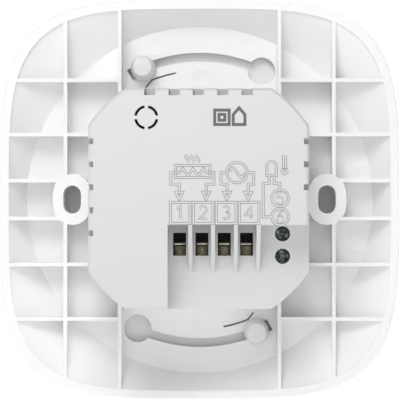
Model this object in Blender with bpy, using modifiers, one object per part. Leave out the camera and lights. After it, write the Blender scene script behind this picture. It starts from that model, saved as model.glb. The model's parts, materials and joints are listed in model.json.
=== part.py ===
"""Wall thermostat: a ribbed wall plate moulded in one with a rear box for a 60 mm wall box, and a
round front unit that twists on to it with two headed pegs.

Frame: +Z up, the wall plane at Y = 0, the rear box towards +Y, the front towards -Y. The origin is
the middle of the plate on the wall plane, midway between the two wall screw slots.
"""

import math

import bmesh
import bpy
from mathutils import Matrix, Vector

MM = 0.001
GAP = 0.3 * MM  # left between pieces that touch or nest
OVER = 1.0 * MM  # how far a cutter runs past what it cuts

# Wall plate
PLATE_HALF = 47.0 * MM
PLATE_EXPONENT = 4.0  # superellipse exponent of the outline
PLATE_DEPTH = 8.6 * MM  # wall plane to the flat front
PLATE_FLOOR = 2.0 * MM
PLATE_SIDE = 2.2 * MM  # upright part of the outer edge
RIM_WIDTH = 2.1 * MM
FLOOR_RADIUS = 41.3 * MM  # round floor inside the sloping rim
FRONT_FLAT_RADIUS = 42.8 * MM
PLATE_SEGMENTS = 96

# Ribs on the back of the plate
RIB = 0.85 * MM
RIB_X_BOX = 18.8 * MM  # upright ribs that meet the box corners
RIB_Z_FAR = 28.1 * MM
RIB_Z_NEAR = 15.3 * MM
RIB_Z_BOSS = 4.45 * MM

# Wall screw slots on the 60 mm wall box pitch
SCREW_PITCH = 60.0 * MM
RIB_X_BOSS = SCREW_PITCH / 2 + 1.6 * MM  # upright ribs that meet the screw bosses
SCREW_SLOT = (4.15 * MM, 6.7 * MM)
SCREW_BOSS = (9.0 * MM, 12.1 * MM)
SCREW_SEAT = (7.4 * MM, 10.0 * MM)
SCREW_SEAT_DEPTH = 2.4 * MM

# Rear box: a drafted square with its corners cut by a drafted circle
BOX_DEPTH = 25.0 * MM
BOX_HALF_REAR = 24.5 * MM
BOX_HALF_FRONT = 26.0 * MM
BOX_CORNER_REAR = 29.4 * MM
BOX_CORNER_FRONT = 31.0 * MM
BOX_WALL = 1.6 * MM
BOX_REAR_WALL = 1.8 * MM
BOX_EDGE = 0.5 * MM

# Terminal recess in the rear box
RECESS_X = 6.87 * MM
RECESS_Z = -5.9 * MM
RECESS_FLOOR = 15.0 * MM
DIVIDER = 0.9 * MM
DIVIDER_FOOT_Z = -16.6 * MM
POLE_PITCH = 5.08 * MM
FIRST_POLE_X = 4.4 * MM
POLES = 4
WINDOW_WIDTH = 2.95 * MM
WINDOW_TOP = -7.7 * MM
WINDOW_BOTTOM = -12.9 * MM
SENSOR_X = -19.0 * MM
SENSOR_Z = -7.95 * MM
SENSOR_POLES = 2
SENSOR_HOLE_RADIUS = 1.72 * MM

# Vents and the ring of four slots
VENT_PITCH = 5.4 * MM
VENT_SIDE_PITCH = 5.1 * MM
VENT_SIDE_TOP = 12.7 * MM
VENT_TOP = (2.45 * MM, 1.55 * MM)
VENT_SIDE = (1.3 * MM, 1.1 * MM)
VENT_START = 17.5 * MM
RING_CENTRE = (11.6 * MM, 18.0 * MM)
RING_RADIUS = 2.4 * MM
RING_SLOT = 0.6 * MM
RING_BRIDGE = 0.8 * MM

# Twist lock
LOCK_RADIUS = 34.1 * MM
LOCKED_ANGLE = 23.3
ENTRY_ANGLE = -25.7
SLOT_END_ANGLE = 29.3
SLOT_WIDTH = 2.1 * MM
REST_WIDTH = 2.8 * MM
REST_START_ANGLE = 20.0
ENTRY_RADIUS = 3.3 * MM
PEG_NECK = 0.85 * MM
PEG_HEAD = 2.95 * MM
PEG_TIP = 2.2 * MM
PEG_HEIGHT = 5.4 * MM
PEG_FLANGE = 2.6 * MM
LATCH_RADIUS = 30.8 * MM
LATCH_SLIT = 0.42 * MM
LATCH_ANGLES = (10.7, 25.5)

# Power board and what stands on it
BOARD_THICKNESS = 1.6 * MM
CAN_RADIUS = 3.0 * MM
CAN_HEIGHT = 16.0 * MM
CAN_Z = -17.0 * MM
BOARD_CLEARANCE = 0.7 * MM
POST_PLACES = ((18.0 * MM, 17.0 * MM), (-18.0 * MM, 17.0 * MM), (18.0 * MM, -17.0 * MM))
POST_RADIUS = 2.3 * MM
POST_BORE_END = 11.0 * MM
COVER_THICKNESS = 1.6 * MM
COVER_REBATE = 0.8 * MM
LONG_SCREW_RADIUS = 1.0 * MM
LONG_SCREW_HEAD = 1.8 * MM
LONG_SCREW_END = 9.5 * MM
HEAD_THICKNESS = 0.8 * MM

# Mains terminals
CAGE_WIDTH = 4.0 * MM
CAGE_WALL = 0.5 * MM
CAGE_DEPTH = 8.6 * MM
CAGE_SOLID = 4.5 * MM  # threaded length below the wire opening
TERMINAL_SCREW_RADIUS = 1.45 * MM
TERMINAL_SCREW_HEAD = 1.95 * MM
TERMINAL_SCREW_HEAD_HEIGHT = 1.8 * MM
TERMINAL_TRAVEL = 2.0 * MM
PAD_THICKNESS = 0.5 * MM
PAD_TOP = -10.0 * MM
BLOCK_END = 1.1 * MM

# Sensor terminals
SENSOR_BLOCK = (-23.2 * MM, -13.9 * MM)
SENSOR_CAGE = (5.0 * MM, 5.6 * MM, 3.6 * MM)
SENSOR_SCREW_RADIUS = 1.1 * MM
SENSOR_SCREW_HEAD = 1.45 * MM
SENSOR_TRAVEL = 1.6 * MM
WIRE_HOLE_RADIUS = 1.5 * MM

# Spring contacts to the front unit
PIN_FIRST_X = 3.4 * MM
PIN_PITCH = 2.6 * MM
PINS = 4
PIN_TIP_RADIUS = 0.45 * MM
PIN_BODY_RADIUS = 0.65 * MM
PIN_TRAVEL = 0.6 * MM

# Front unit
FRONT_RADIUS = 41.0 * MM
FRONT_DEPTH = 11.7 * MM
FRONT_WALL = 1.8 * MM
FRONT_FLOOR = 1.6 * MM
BASE_HEIGHT = 5.6 * MM
CENTRE_OPENING = 13.5 * MM
FRONT_BOARD_THICKNESS = 1.2 * MM
FRONT_BOARD_SPACE = 1.5 * MM
GLASS_RADIUS = FRONT_RADIUS - 4.2 * MM
GLASS_THICKNESS = 1.4 * MM
GLASS_RECESS = 0.3 * MM
LIP_RADIUS = GLASS_RADIUS - 2.2 * MM
LIP_THICKNESS = 1.3 * MM
COVER_SCREW_CIRCLE = FRONT_RADIUS - FRONT_WALL - 2.0 * MM
COVER_SCREW_ANGLES = (90.0, 210.0, 330.0)
COVER_SCREW_RADIUS = 0.8 * MM
COVER_SCREW_HEAD = 1.7 * MM
COVER_BOSS_RADIUS = 2.9 * MM
FRONT_BOARD_RADIUS = COVER_SCREW_CIRCLE - COVER_BOSS_RADIUS - 0.7 * MM
BOARD_REST_RADIUS = 1.6 * MM
ROUND_STEPS = 96  # steps round the large turned pieces
DISPLAY_SIZE = (42.0 * MM, 24.0 * MM)
DISPLAY_THICKNESS = 2.0 * MM
DISPLAY_Z = 8.0 * MM
SPRING_PITCH = 12.0 * MM
SPRINGS = 4
SPRING_RADIUS = 2.2 * MM
SPRING_Z = -20.0 * MM
CELL_RADIUS = 6.2 * MM
CELL_THICKNESS = 2.6 * MM

# Worked-out levels along Y
FLOOR_Y = PLATE_FLOOR - PLATE_DEPTH  # rear face of the plate's floor
FRONT_Y = -PLATE_DEPTH
COVER_Y = FRONT_Y + COVER_THICKNESS
RECESS_INNER = RECESS_FLOOR - BOX_REAR_WALL
BOX_INNER = BOX_DEPTH - BOX_REAR_WALL
BOARD_REAR = BOARD_THICKNESS
ON_BOARD = BOARD_REAR + GAP
BLOCK_TOP = RECESS_INNER - GAP
BASE_Y = FRONT_Y - GAP
BASE_INNER = BASE_Y - FRONT_FLOOR
BASE_RIM = BASE_Y - BASE_HEIGHT
UNIT_FRONT = BASE_Y - FRONT_DEPTH
FRONT_BOARD_REAR = BASE_INNER - FRONT_BOARD_SPACE
FRONT_BOARD_FRONT = FRONT_BOARD_REAR - FRONT_BOARD_THICKNESS
GLASS_FRONT = UNIT_FRONT + GLASS_RECESS
GLASS_REAR = GLASS_FRONT + GLASS_THICKNESS
LIP_FRONT = GLASS_REAR + GAP
LIP_REAR = LIP_FRONT + LIP_THICKNESS

# Worked-out places of the terminals and contacts
TERMINAL_Y = (ON_BOARD + BLOCK_TOP) / 2
SENSOR_WIRE_Y = ON_BOARD + 4.0 * MM
PIN_TIP_Y = FRONT_BOARD_REAR + GAP
PIN_BLOCK_FRONT = FRONT_Y + GAP
PIN_BLOCK_LOW = PIN_FIRST_X - 1.6 * MM
PIN_BLOCK_HIGH = PIN_FIRST_X + PIN_PITCH * (PINS - 1) + 1.6 * MM
PIN_BLOCK_HALF = 2.0 * MM

AXES = {"X": Vector((1, 0, 0)), "Y": Vector((0, 1, 0)), "Z": Vector((0, 0, 1))}


# ---------------------------------------------------------------- scene and materials


def clear_scene():
    for thing in list(bpy.data.objects):
        bpy.data.objects.remove(thing)


def new_collection(name):
    collection = bpy.data.collections.new(name)
    bpy.context.scene.collection.children.link(collection)
    return collection


clear_scene()
PARTS = new_collection("wall_thermostat")
CUTTERS = new_collection("cutters")
CUTTERS.hide_render = True


def new_material(name, colour, roughness, metallic=0.0):
    made = bpy.data.materials.new(name)
    made.use_nodes = True
    made.diffuse_color = (*colour, 1.0)
    shader = made.node_tree.nodes["Principled BSDF"]
    shader.inputs["Base Color"].default_value = (*colour, 1.0)
    shader.inputs["Roughness"].default_value = roughness
    shader.inputs["Metallic"].default_value = metallic
    return made


FINISHES = {
    "white_plastic": new_material("white_plastic", (0.86, 0.86, 0.86), 0.45),
    "grey_plastic": new_material("grey_plastic", (0.62, 0.62, 0.63), 0.5),
    "black_plastic": new_material("black_plastic", (0.02, 0.02, 0.02), 0.5),
    "green_plastic": new_material("green_plastic", (0.02, 0.12, 0.07), 0.45),
    "blue_plastic": new_material("blue_plastic", (0.04, 0.12, 0.35), 0.45),
    "board": new_material("board", (0.03, 0.16, 0.07), 0.4),
    "brass": new_material("brass", (0.66, 0.55, 0.31), 0.35, 1.0),
    "steel": new_material("steel", (0.6, 0.6, 0.6), 0.3, 1.0),
    "gold": new_material("gold", (0.83, 0.62, 0.25), 0.25, 1.0),
    "ferrite": new_material("ferrite", (0.06, 0.06, 0.065), 0.6),
    "tape": new_material("tape", (0.75, 0.6, 0.1), 0.4),
    "sleeve": new_material("sleeve", (0.05, 0.05, 0.09), 0.35),
    "glass": new_material("glass", (0.008, 0.008, 0.01), 0.08),
    "screen": new_material("screen", (0.02, 0.025, 0.03), 0.2),
    "diffuser": new_material("diffuser", (0.8, 0.8, 0.78), 0.5),
}


# ---------------------------------------------------------------- shapes


def add_object(name, mesh, collection=None):
    made = bpy.data.objects.new(name, mesh)
    (collection or CUTTERS).objects.link(made)
    if collection is None:
        made.hide_render = True
        made.display_type = "WIRE"
    return made


def from_bmesh(name, shape):
    mesh = bpy.data.meshes.new(name)
    shape.to_mesh(mesh)
    shape.free()
    return add_object(name, mesh)


def box(name, low, high):
    """A box between two opposite corners."""
    low, high = Vector(low), Vector(high)
    size = high - low
    shape = bmesh.new()
    place = Matrix.Translation((low + high) / 2) @ Matrix.Diagonal((*size, 1.0))
    bmesh.ops.create_cube(shape, size=1.0, matrix=place)
    return from_bmesh(name, shape)


def rod(name, axis, start, end, across, radius, segments=24, end_radius=None):
    """A round rod along X, Y or Z. across holds its place on the two other axes, in X, Y, Z order."""
    others = [key for key in "XYZ" if key != axis]
    centre = AXES[axis] * (start + end) / 2
    for key, value in zip(others, across):
        centre = centre + AXES[key] * value
    turn = AXES["Z"].rotation_difference(AXES[axis]).to_matrix().to_4x4()
    shape = bmesh.new()
    bmesh.ops.create_cone(
        shape,
        cap_ends=True,
        segments=segments,
        radius1=radius,
        radius2=radius if end_radius is None else end_radius,
        depth=abs(end - start),
        matrix=Matrix.Translation(centre) @ turn,
    )
    return from_bmesh(name, shape)


def prism(name, axis, outlines, start, end):
    """A flat outline, with holes if it has further loops, extruded along X, Y or Z."""
    first, second = [AXES[key] for key in "XYZ" if key != axis]
    third = first.cross(second)
    curve = bpy.data.curves.new(name, "CURVE")
    curve.dimensions = "2D"
    curve.fill_mode = "BOTH"
    curve.extrude = abs(end - start) / 2
    for outline in outlines:
        spline = curve.splines.new("POLY")
        spline.points.add(len(outline) - 1)
        for point, (u, v) in zip(spline.points, outline):
            point.co = (u, v, 0.0, 1.0)
        spline.use_cyclic_u = True
    guide = add_object(name + "_outline", curve)
    turn = Matrix((first, second, third)).transposed().to_4x4()
    guide.matrix_world = Matrix.Translation(AXES[axis] * (start + end) / 2) @ turn
    bpy.context.view_layer.update()
    graph = bpy.context.evaluated_depsgraph_get()
    mesh = bpy.data.meshes.new_from_object(guide.evaluated_get(graph))
    mesh.transform(guide.matrix_world)
    bpy.data.objects.remove(guide)
    shape = bmesh.new()
    shape.from_mesh(mesh)
    bpy.data.meshes.remove(mesh)
    bmesh.ops.remove_doubles(shape, verts=shape.verts, dist=1e-7)
    bmesh.ops.recalc_face_normals(shape, faces=shape.faces)
    return from_bmesh(name, shape)


def loft(name, rings):
    """A closed skin through rings of equally many points, capped at both ends."""
    shape = bmesh.new()
    rows = [[shape.verts.new(point) for point in ring] for ring in rings]
    count = len(rows[0])
    for row, following in zip(rows, rows[1:]):
        for i in range(count):
            j = (i + 1) % count
            shape.faces.new((row[i], row[j], following[j], following[i]))
    shape.faces.new(rows[0])
    shape.faces.new(rows[-1])
    bmesh.ops.recalc_face_normals(shape, faces=shape.faces)
    return from_bmesh(name, shape)


def turned(name, profile, x=0.0, z=0.0, steps=24, closed=False):
    """A shape turned about a line along Y. The profile holds (radius, y), from the front backwards."""
    shape = bmesh.new()
    points = [shape.verts.new((radius, 0.0, -y)) for radius, y in profile]
    for a, b in zip(points, points[1:]):
        shape.edges.new((a, b))
    if closed:
        shape.edges.new((points[-1], points[0]))
    made = from_bmesh(name, shape)
    screw = made.modifiers.new("turn", "SCREW")
    screw.axis = "Z"
    screw.steps = steps
    screw.render_steps = steps
    screw.use_merge_vertices = True
    screw.merge_threshold = 1e-5
    made.rotation_euler = (math.radians(90), 0.0, 0.0)
    made.location = (x, 0.0, z)
    return made


def merged(name, pieces):
    """Separate cutters that don't touch, as one object."""
    shape = bmesh.new()
    for piece in pieces:
        shape.from_mesh(piece.data)
        bpy.data.objects.remove(piece)
    return from_bmesh(name, shape)


def combine(target, other, operation):
    change = target.modifiers.new(operation.lower() + "_" + other.name, "BOOLEAN")
    change.operation = operation
    change.object = other
    return target


def unite(target, *others):
    for other in others:
        combine(target, other, "UNION")
    return target


def cut(target, *others):
    for other in others:
        combine(target, other, "DIFFERENCE")
    return target


def part(made, finish, origin=None):
    """Turns a shape into a sub-part, with its origin where it turns or slides."""
    CUTTERS.objects.unlink(made)
    PARTS.objects.link(made)
    made.hide_render = False
    made.display_type = "TEXTURED"
    made.data.materials.clear()
    made.data.materials.append(FINISHES[finish])
    if origin is not None:
        shift = Vector(origin) - made.location
        made.data.transform(Matrix.Translation(-shift))
        made.location = Vector(origin)
    made.data.shade_smooth()
    if made.data.polygons:
        made.data.set_sharp_from_angle(angle=math.radians(35))
    return made


def hang_on_twist_axis(name, pieces):
    """Parents pieces to an empty at the middle of the plate, round which the front unit twists."""
    axis = bpy.data.objects.new(name, None)
    PARTS.objects.link(axis)
    for piece in pieces:
        piece.parent = axis


# ---------------------------------------------------------------- outlines


def polar(radius, degrees, centre=(0.0, 0.0)):
    angle = math.radians(degrees)
    return (centre[0] + radius * math.cos(angle), centre[1] + radius * math.sin(angle))


def arc(radius, start, end, steps, centre=(0.0, 0.0)):
    return [polar(radius, start + (end - start) * i / steps, centre) for i in range(steps + 1)]


def stadium(centre, size, steps=8):
    """A slot with round ends, taller than wide."""
    radius = size[0] / 2
    straight = size[1] / 2 - radius
    upper = arc(radius, 0, 180, steps, (centre[0], centre[1] + straight))
    lower = arc(radius, 180, 360, steps, (centre[0], centre[1] - straight))
    return upper + lower


def plate_ring(flat, share, y, inset=0.0):
    """A ring between a circle of radius flat (share 0) and the plate's outline (share 1)."""
    points = []
    for i in range(PLATE_SEGMENTS):
        angle = math.tau * i / PLATE_SEGMENTS
        across, up = abs(math.cos(angle)), abs(math.sin(angle))
        spread = (across**PLATE_EXPONENT + up**PLATE_EXPONENT) ** (1 / PLATE_EXPONENT)
        outline = (PLATE_HALF - inset) / spread
        radius = flat + (outline - flat) * share
        points.append(Vector((radius * math.cos(angle), y, radius * math.sin(angle))))
    return points


def box_sizes(y):
    """Half width and corner radius of the drafted rear box at depth y."""
    share = (y - FLOOR_Y) / (BOX_DEPTH - FLOOR_Y)
    half = BOX_HALF_FRONT + (BOX_HALF_REAR - BOX_HALF_FRONT) * share
    corner = BOX_CORNER_FRONT + (BOX_CORNER_REAR - BOX_CORNER_FRONT) * share
    return half, corner


def cut_square(half, corner, steps=6):
    """A square whose corners follow a circle about its middle."""
    first = math.degrees(math.acos(half / corner))
    points = []
    for quarter in range(4):
        points += arc(corner, 90 * quarter + first, 90 * quarter + 90 - first, steps)
    return points


def box_ring(y, inset=0.0):
    half, corner = box_sizes(y)
    return [Vector((x, y, z)) for x, z in cut_square(half - inset, corner - inset)]


def curved_band(radius_of, width, start, end, steps, turn):
    """A band along a curve about the middle. Angles are from straight down towards -X."""
    outer = []
    inner = []
    for i in range(steps + 1):
        degrees = start + (end - start) * i / steps
        direction = 270 - degrees + turn
        outer.append(polar(radius_of(degrees) + width / 2, direction))
        inner.append(polar(radius_of(degrees) - width / 2, direction))
    return outer + inner[::-1]


def lock_place(degrees, turn, radius=LOCK_RADIUS):
    return polar(radius, 270 - degrees + turn)


def pole_x(index):
    return FIRST_POLE_X - POLE_PITCH * index


def sensor_z(index):
    return SENSOR_Z - POLE_PITCH * index


# ---------------------------------------------------------------- rear housing


def plate_pocket():
    """The hollow behind the plate, less the ribs, the screw bosses and the rear box."""
    rings = [
        plate_ring(FLOOR_RADIUS, share, FLOOR_Y * (1 - share) ** 0.9, RIM_WIDTH)
        for share in (0, 0.33, 0.66)
    ]
    rings += [plate_ring(FLOOR_RADIUS, 1, y, RIM_WIDTH) for y in (-RIM_WIDTH / 4, OVER)]
    pocket = loft("plate_pocket", rings)
    low, high, reach = FLOOR_Y - OVER, 2 * OVER, PLATE_HALF + OVER
    upright = []
    level = []
    for side in (-1, 1):
        for x, inner in ((RIB_X_BOX, BOX_HALF_FRONT / 2), (RIB_X_BOSS, 0.0)):
            for end in (-1, 1):
                zs = sorted((end * inner, end * reach)) if inner else (-reach, reach)
                upright.append((side * x, *zs))
        level += [(z, side, RIB_X_BOX) for z in (-RIB_Z_FAR, RIB_Z_FAR)]
        level += [(z, side, BOX_HALF_FRONT / 2) for z in (-RIB_Z_NEAR, RIB_Z_NEAR)]
        level += [(z, side, SCREW_PITCH / 2) for z in (-RIB_Z_BOSS, RIB_Z_BOSS)]
    uprights = [
        box(f"rib_{i}", (x - RIB / 2, low, z0), (x + RIB / 2, high, z1))
        for i, (x, z0, z1) in enumerate(sorted(set(upright)))
    ]
    levels = []
    for i, (z, side, inner) in enumerate(level):
        x0, x1 = sorted((side * inner, side * reach))
        levels.append(box(f"cross_rib_{i}", (x0, low, z - RIB / 2), (x1, high, z + RIB / 2)))
    bosses = merged(
        "bosses",
        [
            prism(f"boss_{side}", "Y", [stadium((side * SCREW_PITCH / 2, 0), SCREW_BOSS)], low, high)
            for side in (-1, 1)
        ],
    )
    guard = loft("box_guard", [box_ring(y, -0.05 * MM) for y in (low, high)])
    return cut(pocket, merged("uprights", uprights), merged("levels", levels), bosses, guard)


def recess_cutter():
    """The step cut out of the rear box over the terminals, less the dividers."""
    far = BOX_HALF_FRONT + 4 * OVER
    recess = box("recess", (-far, RECESS_FLOOR, -far), (RECESS_X, BOX_DEPTH + OVER, RECESS_Z))
    fall = (BOX_DEPTH - RECESS_FLOOR) / (RECESS_Z - DIVIDER_FOOT_Z)
    outline = [
        (BOX_DEPTH + fall * OVER, RECESS_Z + OVER),
        (RECESS_FLOOR - OVER, RECESS_Z + OVER),
        (RECESS_FLOOR - OVER, DIVIDER_FOOT_Z - OVER / fall),
    ]
    dividers = []
    for i in range(POLES):
        x = pole_x(i) - POLE_PITCH / 2
        dividers.append(prism(f"divider_{i}", "X", [outline], x - DIVIDER / 2, x + DIVIDER / 2))
    return cut(recess, merged("dividers", dividers))


def box_cavity():
    """The inside of the rear box, open to the front, less the recess's walls and the posts."""
    cavity = loft("cavity", [box_ring(y, BOX_WALL) for y in (FRONT_Y - OVER, BOX_INNER)])
    far = BOX_HALF_FRONT + 4 * OVER
    step = box(
        "recess_walls",
        (-far, RECESS_INNER, -far),
        (RECESS_X + BOX_WALL, BOX_DEPTH, RECESS_Z + BOX_WALL),
    )
    posts = [
        rod(f"post_{i}", "Y", ON_BOARD, BOX_DEPTH, place, POST_RADIUS, 16)
        for i, place in enumerate(POST_PLACES)
    ]
    return cut(cavity, step, merged("posts", posts))


def lock_cutters():
    """Entry holes, curved slots, rest pockets and the slits that free the latch arms."""
    low, high = FRONT_Y - OVER, FLOOR_Y + OVER
    entries, slots, rests, slits = [], [], [], []

    def path(_degrees):
        return LOCK_RADIUS

    def slit_path(degrees):
        return LATCH_RADIUS - max(0.0, degrees - 22.0) * 0.3 * MM

    for turn in (0, 180):
        entries.append(rod(f"entry_{turn}", "Y", low, high, lock_place(ENTRY_ANGLE, turn), ENTRY_RADIUS))
        band = curved_band(path, SLOT_WIDTH, ENTRY_ANGLE, REST_START_ANGLE + 4, 20, turn)
        slots.append(prism(f"slot_{turn}", "Y", [band], low, high))
        band = curved_band(path, REST_WIDTH, REST_START_ANGLE, SLOT_END_ANGLE, 5, turn)
        rests.append(prism(f"rest_{turn}", "Y", [band], low, high))
        band = curved_band(slit_path, LATCH_SLIT, *LATCH_ANGLES, 8, turn)
        slits.append(prism(f"slit_{turn}", "Y", [band], low, high))
    return [
        merged("entries", entries),
        merged("slots", slots),
        merged("rests", rests),
        merged("slits", slits),
    ]


def screw_slot_cutters():
    """Slots for the wall screws and their seats on the front."""
    holes, seats = [], []
    for side in (-1, 1):
        place = (side * SCREW_PITCH / 2, 0.0)
        holes.append(prism(f"screw_slot_{side}", "Y", [stadium(place, SCREW_SLOT)], FRONT_Y - OVER, OVER))
        seat_end = FRONT_Y + SCREW_SEAT_DEPTH
        seats.append(prism(f"seat_{side}", "Y", [stadium(place, SCREW_SEAT)], FRONT_Y - OVER, seat_end))
    return [merged("screw_slots", holes), merged("seats", seats)]


def terminal_cutters():
    """Wire windows, sensor screw holes, and the holes for the screwdriver and the sensor wires."""
    low, high = RECESS_INNER - OVER, RECESS_FLOOR + OVER
    openings = []
    for i in range(POLES):
        x = pole_x(i)
        openings.append(
            box(
                f"window_{i}",
                (x - WINDOW_WIDTH / 2, low, WINDOW_BOTTOM),
                (x + WINDOW_WIDTH / 2, high, WINDOW_TOP),
            )
        )
    for i in range(SENSOR_POLES):
        place = (SENSOR_X, sensor_z(i))
        openings.append(rod(f"sensor_hole_{i}", "Y", low, high, place, SENSOR_HOLE_RADIUS))
    drivers = []
    far = BOX_HALF_FRONT + OVER
    near = BOX_HALF_REAR - 2 * BOX_WALL
    for i in range(POLES):
        radius = TERMINAL_SCREW_HEAD + GAP
        drivers.append(rod(f"driver_{i}", "Z", -far, -near, (pole_x(i), TERMINAL_Y), radius, 16))
    for i in range(SENSOR_POLES):
        place = (SENSOR_WIRE_Y, sensor_z(i))
        drivers.append(rod(f"wire_hole_{i}", "X", -far, -near, place, WIRE_HOLE_RADIUS, 16))
    return [merged("terminal_openings", openings), merged("drivers", drivers)]


def vent_cutters():
    """Notches along three edges of the box's rear face, open into the box."""
    far = BOX_HALF_FRONT + OVER
    deep = BOX_HALF_REAR - BOX_WALL - OVER
    rear = BOX_DEPTH + OVER
    inner = BOX_INNER - OVER
    notches, throats = [], []
    width, depth = VENT_TOP
    for i in range(-2, 3):
        x = i * VENT_PITCH
        edge = BOX_HALF_REAR - depth
        notches.append(box(f"notch_{i}", (x - width / 2, VENT_START, edge), (x + width / 2, rear, far)))
        slim = width / 2 - 2 * GAP
        throats.append(box(f"throat_{i}", (x - slim, VENT_START + OVER, deep), (x + slim, inner, far)))
    height, depth = VENT_SIDE
    edge = BOX_HALF_REAR - depth
    for side, count in ((1, 5), (-1, 3)):
        for i in range(count):
            z = VENT_SIDE_TOP - i * VENT_SIDE_PITCH
            x0, x1 = sorted((side * edge, side * far))
            low, high = (x0, VENT_START, z - height / 2), (x1, rear, z + height / 2)
            notches.append(box(f"side_notch_{side}_{i}", low, high))
    ring = []
    gap = math.degrees(RING_BRIDGE / RING_RADIUS) / 2
    for quarter in range(4):
        start, end = 90 * quarter + gap, 90 * quarter + 90 - gap
        outline = arc(RING_RADIUS + RING_SLOT / 2, start, end, 5, RING_CENTRE)
        outline += arc(RING_RADIUS - RING_SLOT / 2, end, start, 5, RING_CENTRE)
        ring.append(prism(f"ring_{quarter}", "Y", [outline], BOX_INNER - OVER, rear))
    return [merged("notches", notches), merged("throats", throats), merged("ring", ring)]


def make_rear_housing():
    slope = PLATE_DEPTH - PLATE_SIDE
    profile = [(0.0, 0.0), (0.12, 0.05), (0.4, 0.3), (0.72, 0.62), (0.94, 0.9), (1.0, 1.0)]
    rings = [plate_ring(FRONT_FLAT_RADIUS, share, FRONT_Y + slope * fall) for share, fall in profile]
    rings.append(plate_ring(FRONT_FLAT_RADIUS, 1, -BOX_EDGE))
    rings.append(plate_ring(FRONT_FLAT_RADIUS, 1, 0.0, BOX_EDGE / 2))
    housing = loft("rear_housing", rings)
    box_rings = [box_ring(-OVER), box_ring(BOX_DEPTH - BOX_EDGE), box_ring(BOX_DEPTH, BOX_EDGE)]
    body = loft("box_body", box_rings)
    unite(housing, body)
    cut(housing, plate_pocket(), recess_cutter(), box_cavity())
    rebate_end = COVER_Y + GAP
    rebate_inset = BOX_WALL - COVER_REBATE
    rebate = loft("cover_rebate", [box_ring(y, rebate_inset) for y in (FRONT_Y - OVER, rebate_end)])
    cut(housing, rebate, *lock_cutters(), *screw_slot_cutters(), *terminal_cutters(), *vent_cutters())
    bores = [
        rod(f"bore_{i}", "Y", 0.0, POST_BORE_END, place, LONG_SCREW_RADIUS + GAP, 12)
        for i, place in enumerate(POST_PLACES)
    ]
    cut(housing, merged("post_bores", bores))
    return part(housing, "white_plastic")


# ---------------------------------------------------------------- inside the rear box


def make_inner_cover():
    inset = BOX_WALL - COVER_REBATE + GAP
    cover = loft("inner_cover", [box_ring(y, inset) for y in (FRONT_Y, COVER_Y)])
    legs = [
        rod(f"leg_{i}", "Y", COVER_Y - GAP, -GAP, place, POST_RADIUS, 16)
        for i, place in enumerate(POST_PLACES)
    ]
    unite(cover, merged("legs", legs))
    holes, seats = [], []
    for i, place in enumerate(POST_PLACES):
        holes.append(rod(f"leg_hole_{i}", "Y", FRONT_Y - OVER, OVER, place, LONG_SCREW_RADIUS + GAP, 12))
        seat_end = FRONT_Y + HEAD_THICKNESS + GAP
        seats.append(rod(f"leg_seat_{i}", "Y", FRONT_Y - OVER, seat_end, place, LONG_SCREW_HEAD + GAP, 16))
    window = box(
        "pin_window",
        (PIN_BLOCK_LOW - GAP, FRONT_Y - OVER, -PIN_BLOCK_HALF - GAP),
        (PIN_BLOCK_HIGH + GAP, COVER_Y + OVER, PIN_BLOCK_HALF + GAP),
    )
    cut(cover, merged("leg_holes", holes), merged("leg_seats", seats), window)
    return part(cover, "grey_plastic")


def make_long_screws():
    for i, (x, z) in enumerate(POST_PLACES):
        head = FRONT_Y + HEAD_THICKNESS
        profile = [
            (0.0, FRONT_Y),
            (LONG_SCREW_HEAD, FRONT_Y),
            (LONG_SCREW_HEAD, head),
            (LONG_SCREW_RADIUS, head),
            (LONG_SCREW_RADIUS, LONG_SCREW_END - OVER),
            (0.0, LONG_SCREW_END),
        ]
        part(turned(f"inner_cover_screw_{i + 1}", profile, x, z, 12), "steel")


def make_power_board():
    half, corner = box_sizes(BOARD_REAR)
    room = BOX_WALL + BOARD_CLEARANCE
    board = prism("power_board", "Y", [cut_square(half - room, corner - room)], 0.0, BOARD_REAR)
    holes = [
        rod(f"board_hole_{i}", "Y", -OVER, BOARD_REAR + OVER, place, LONG_SCREW_RADIUS + GAP, 12)
        for i, place in enumerate(POST_PLACES)
    ]
    cut(board, merged("board_holes", holes))
    return part(board, "board")


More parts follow.
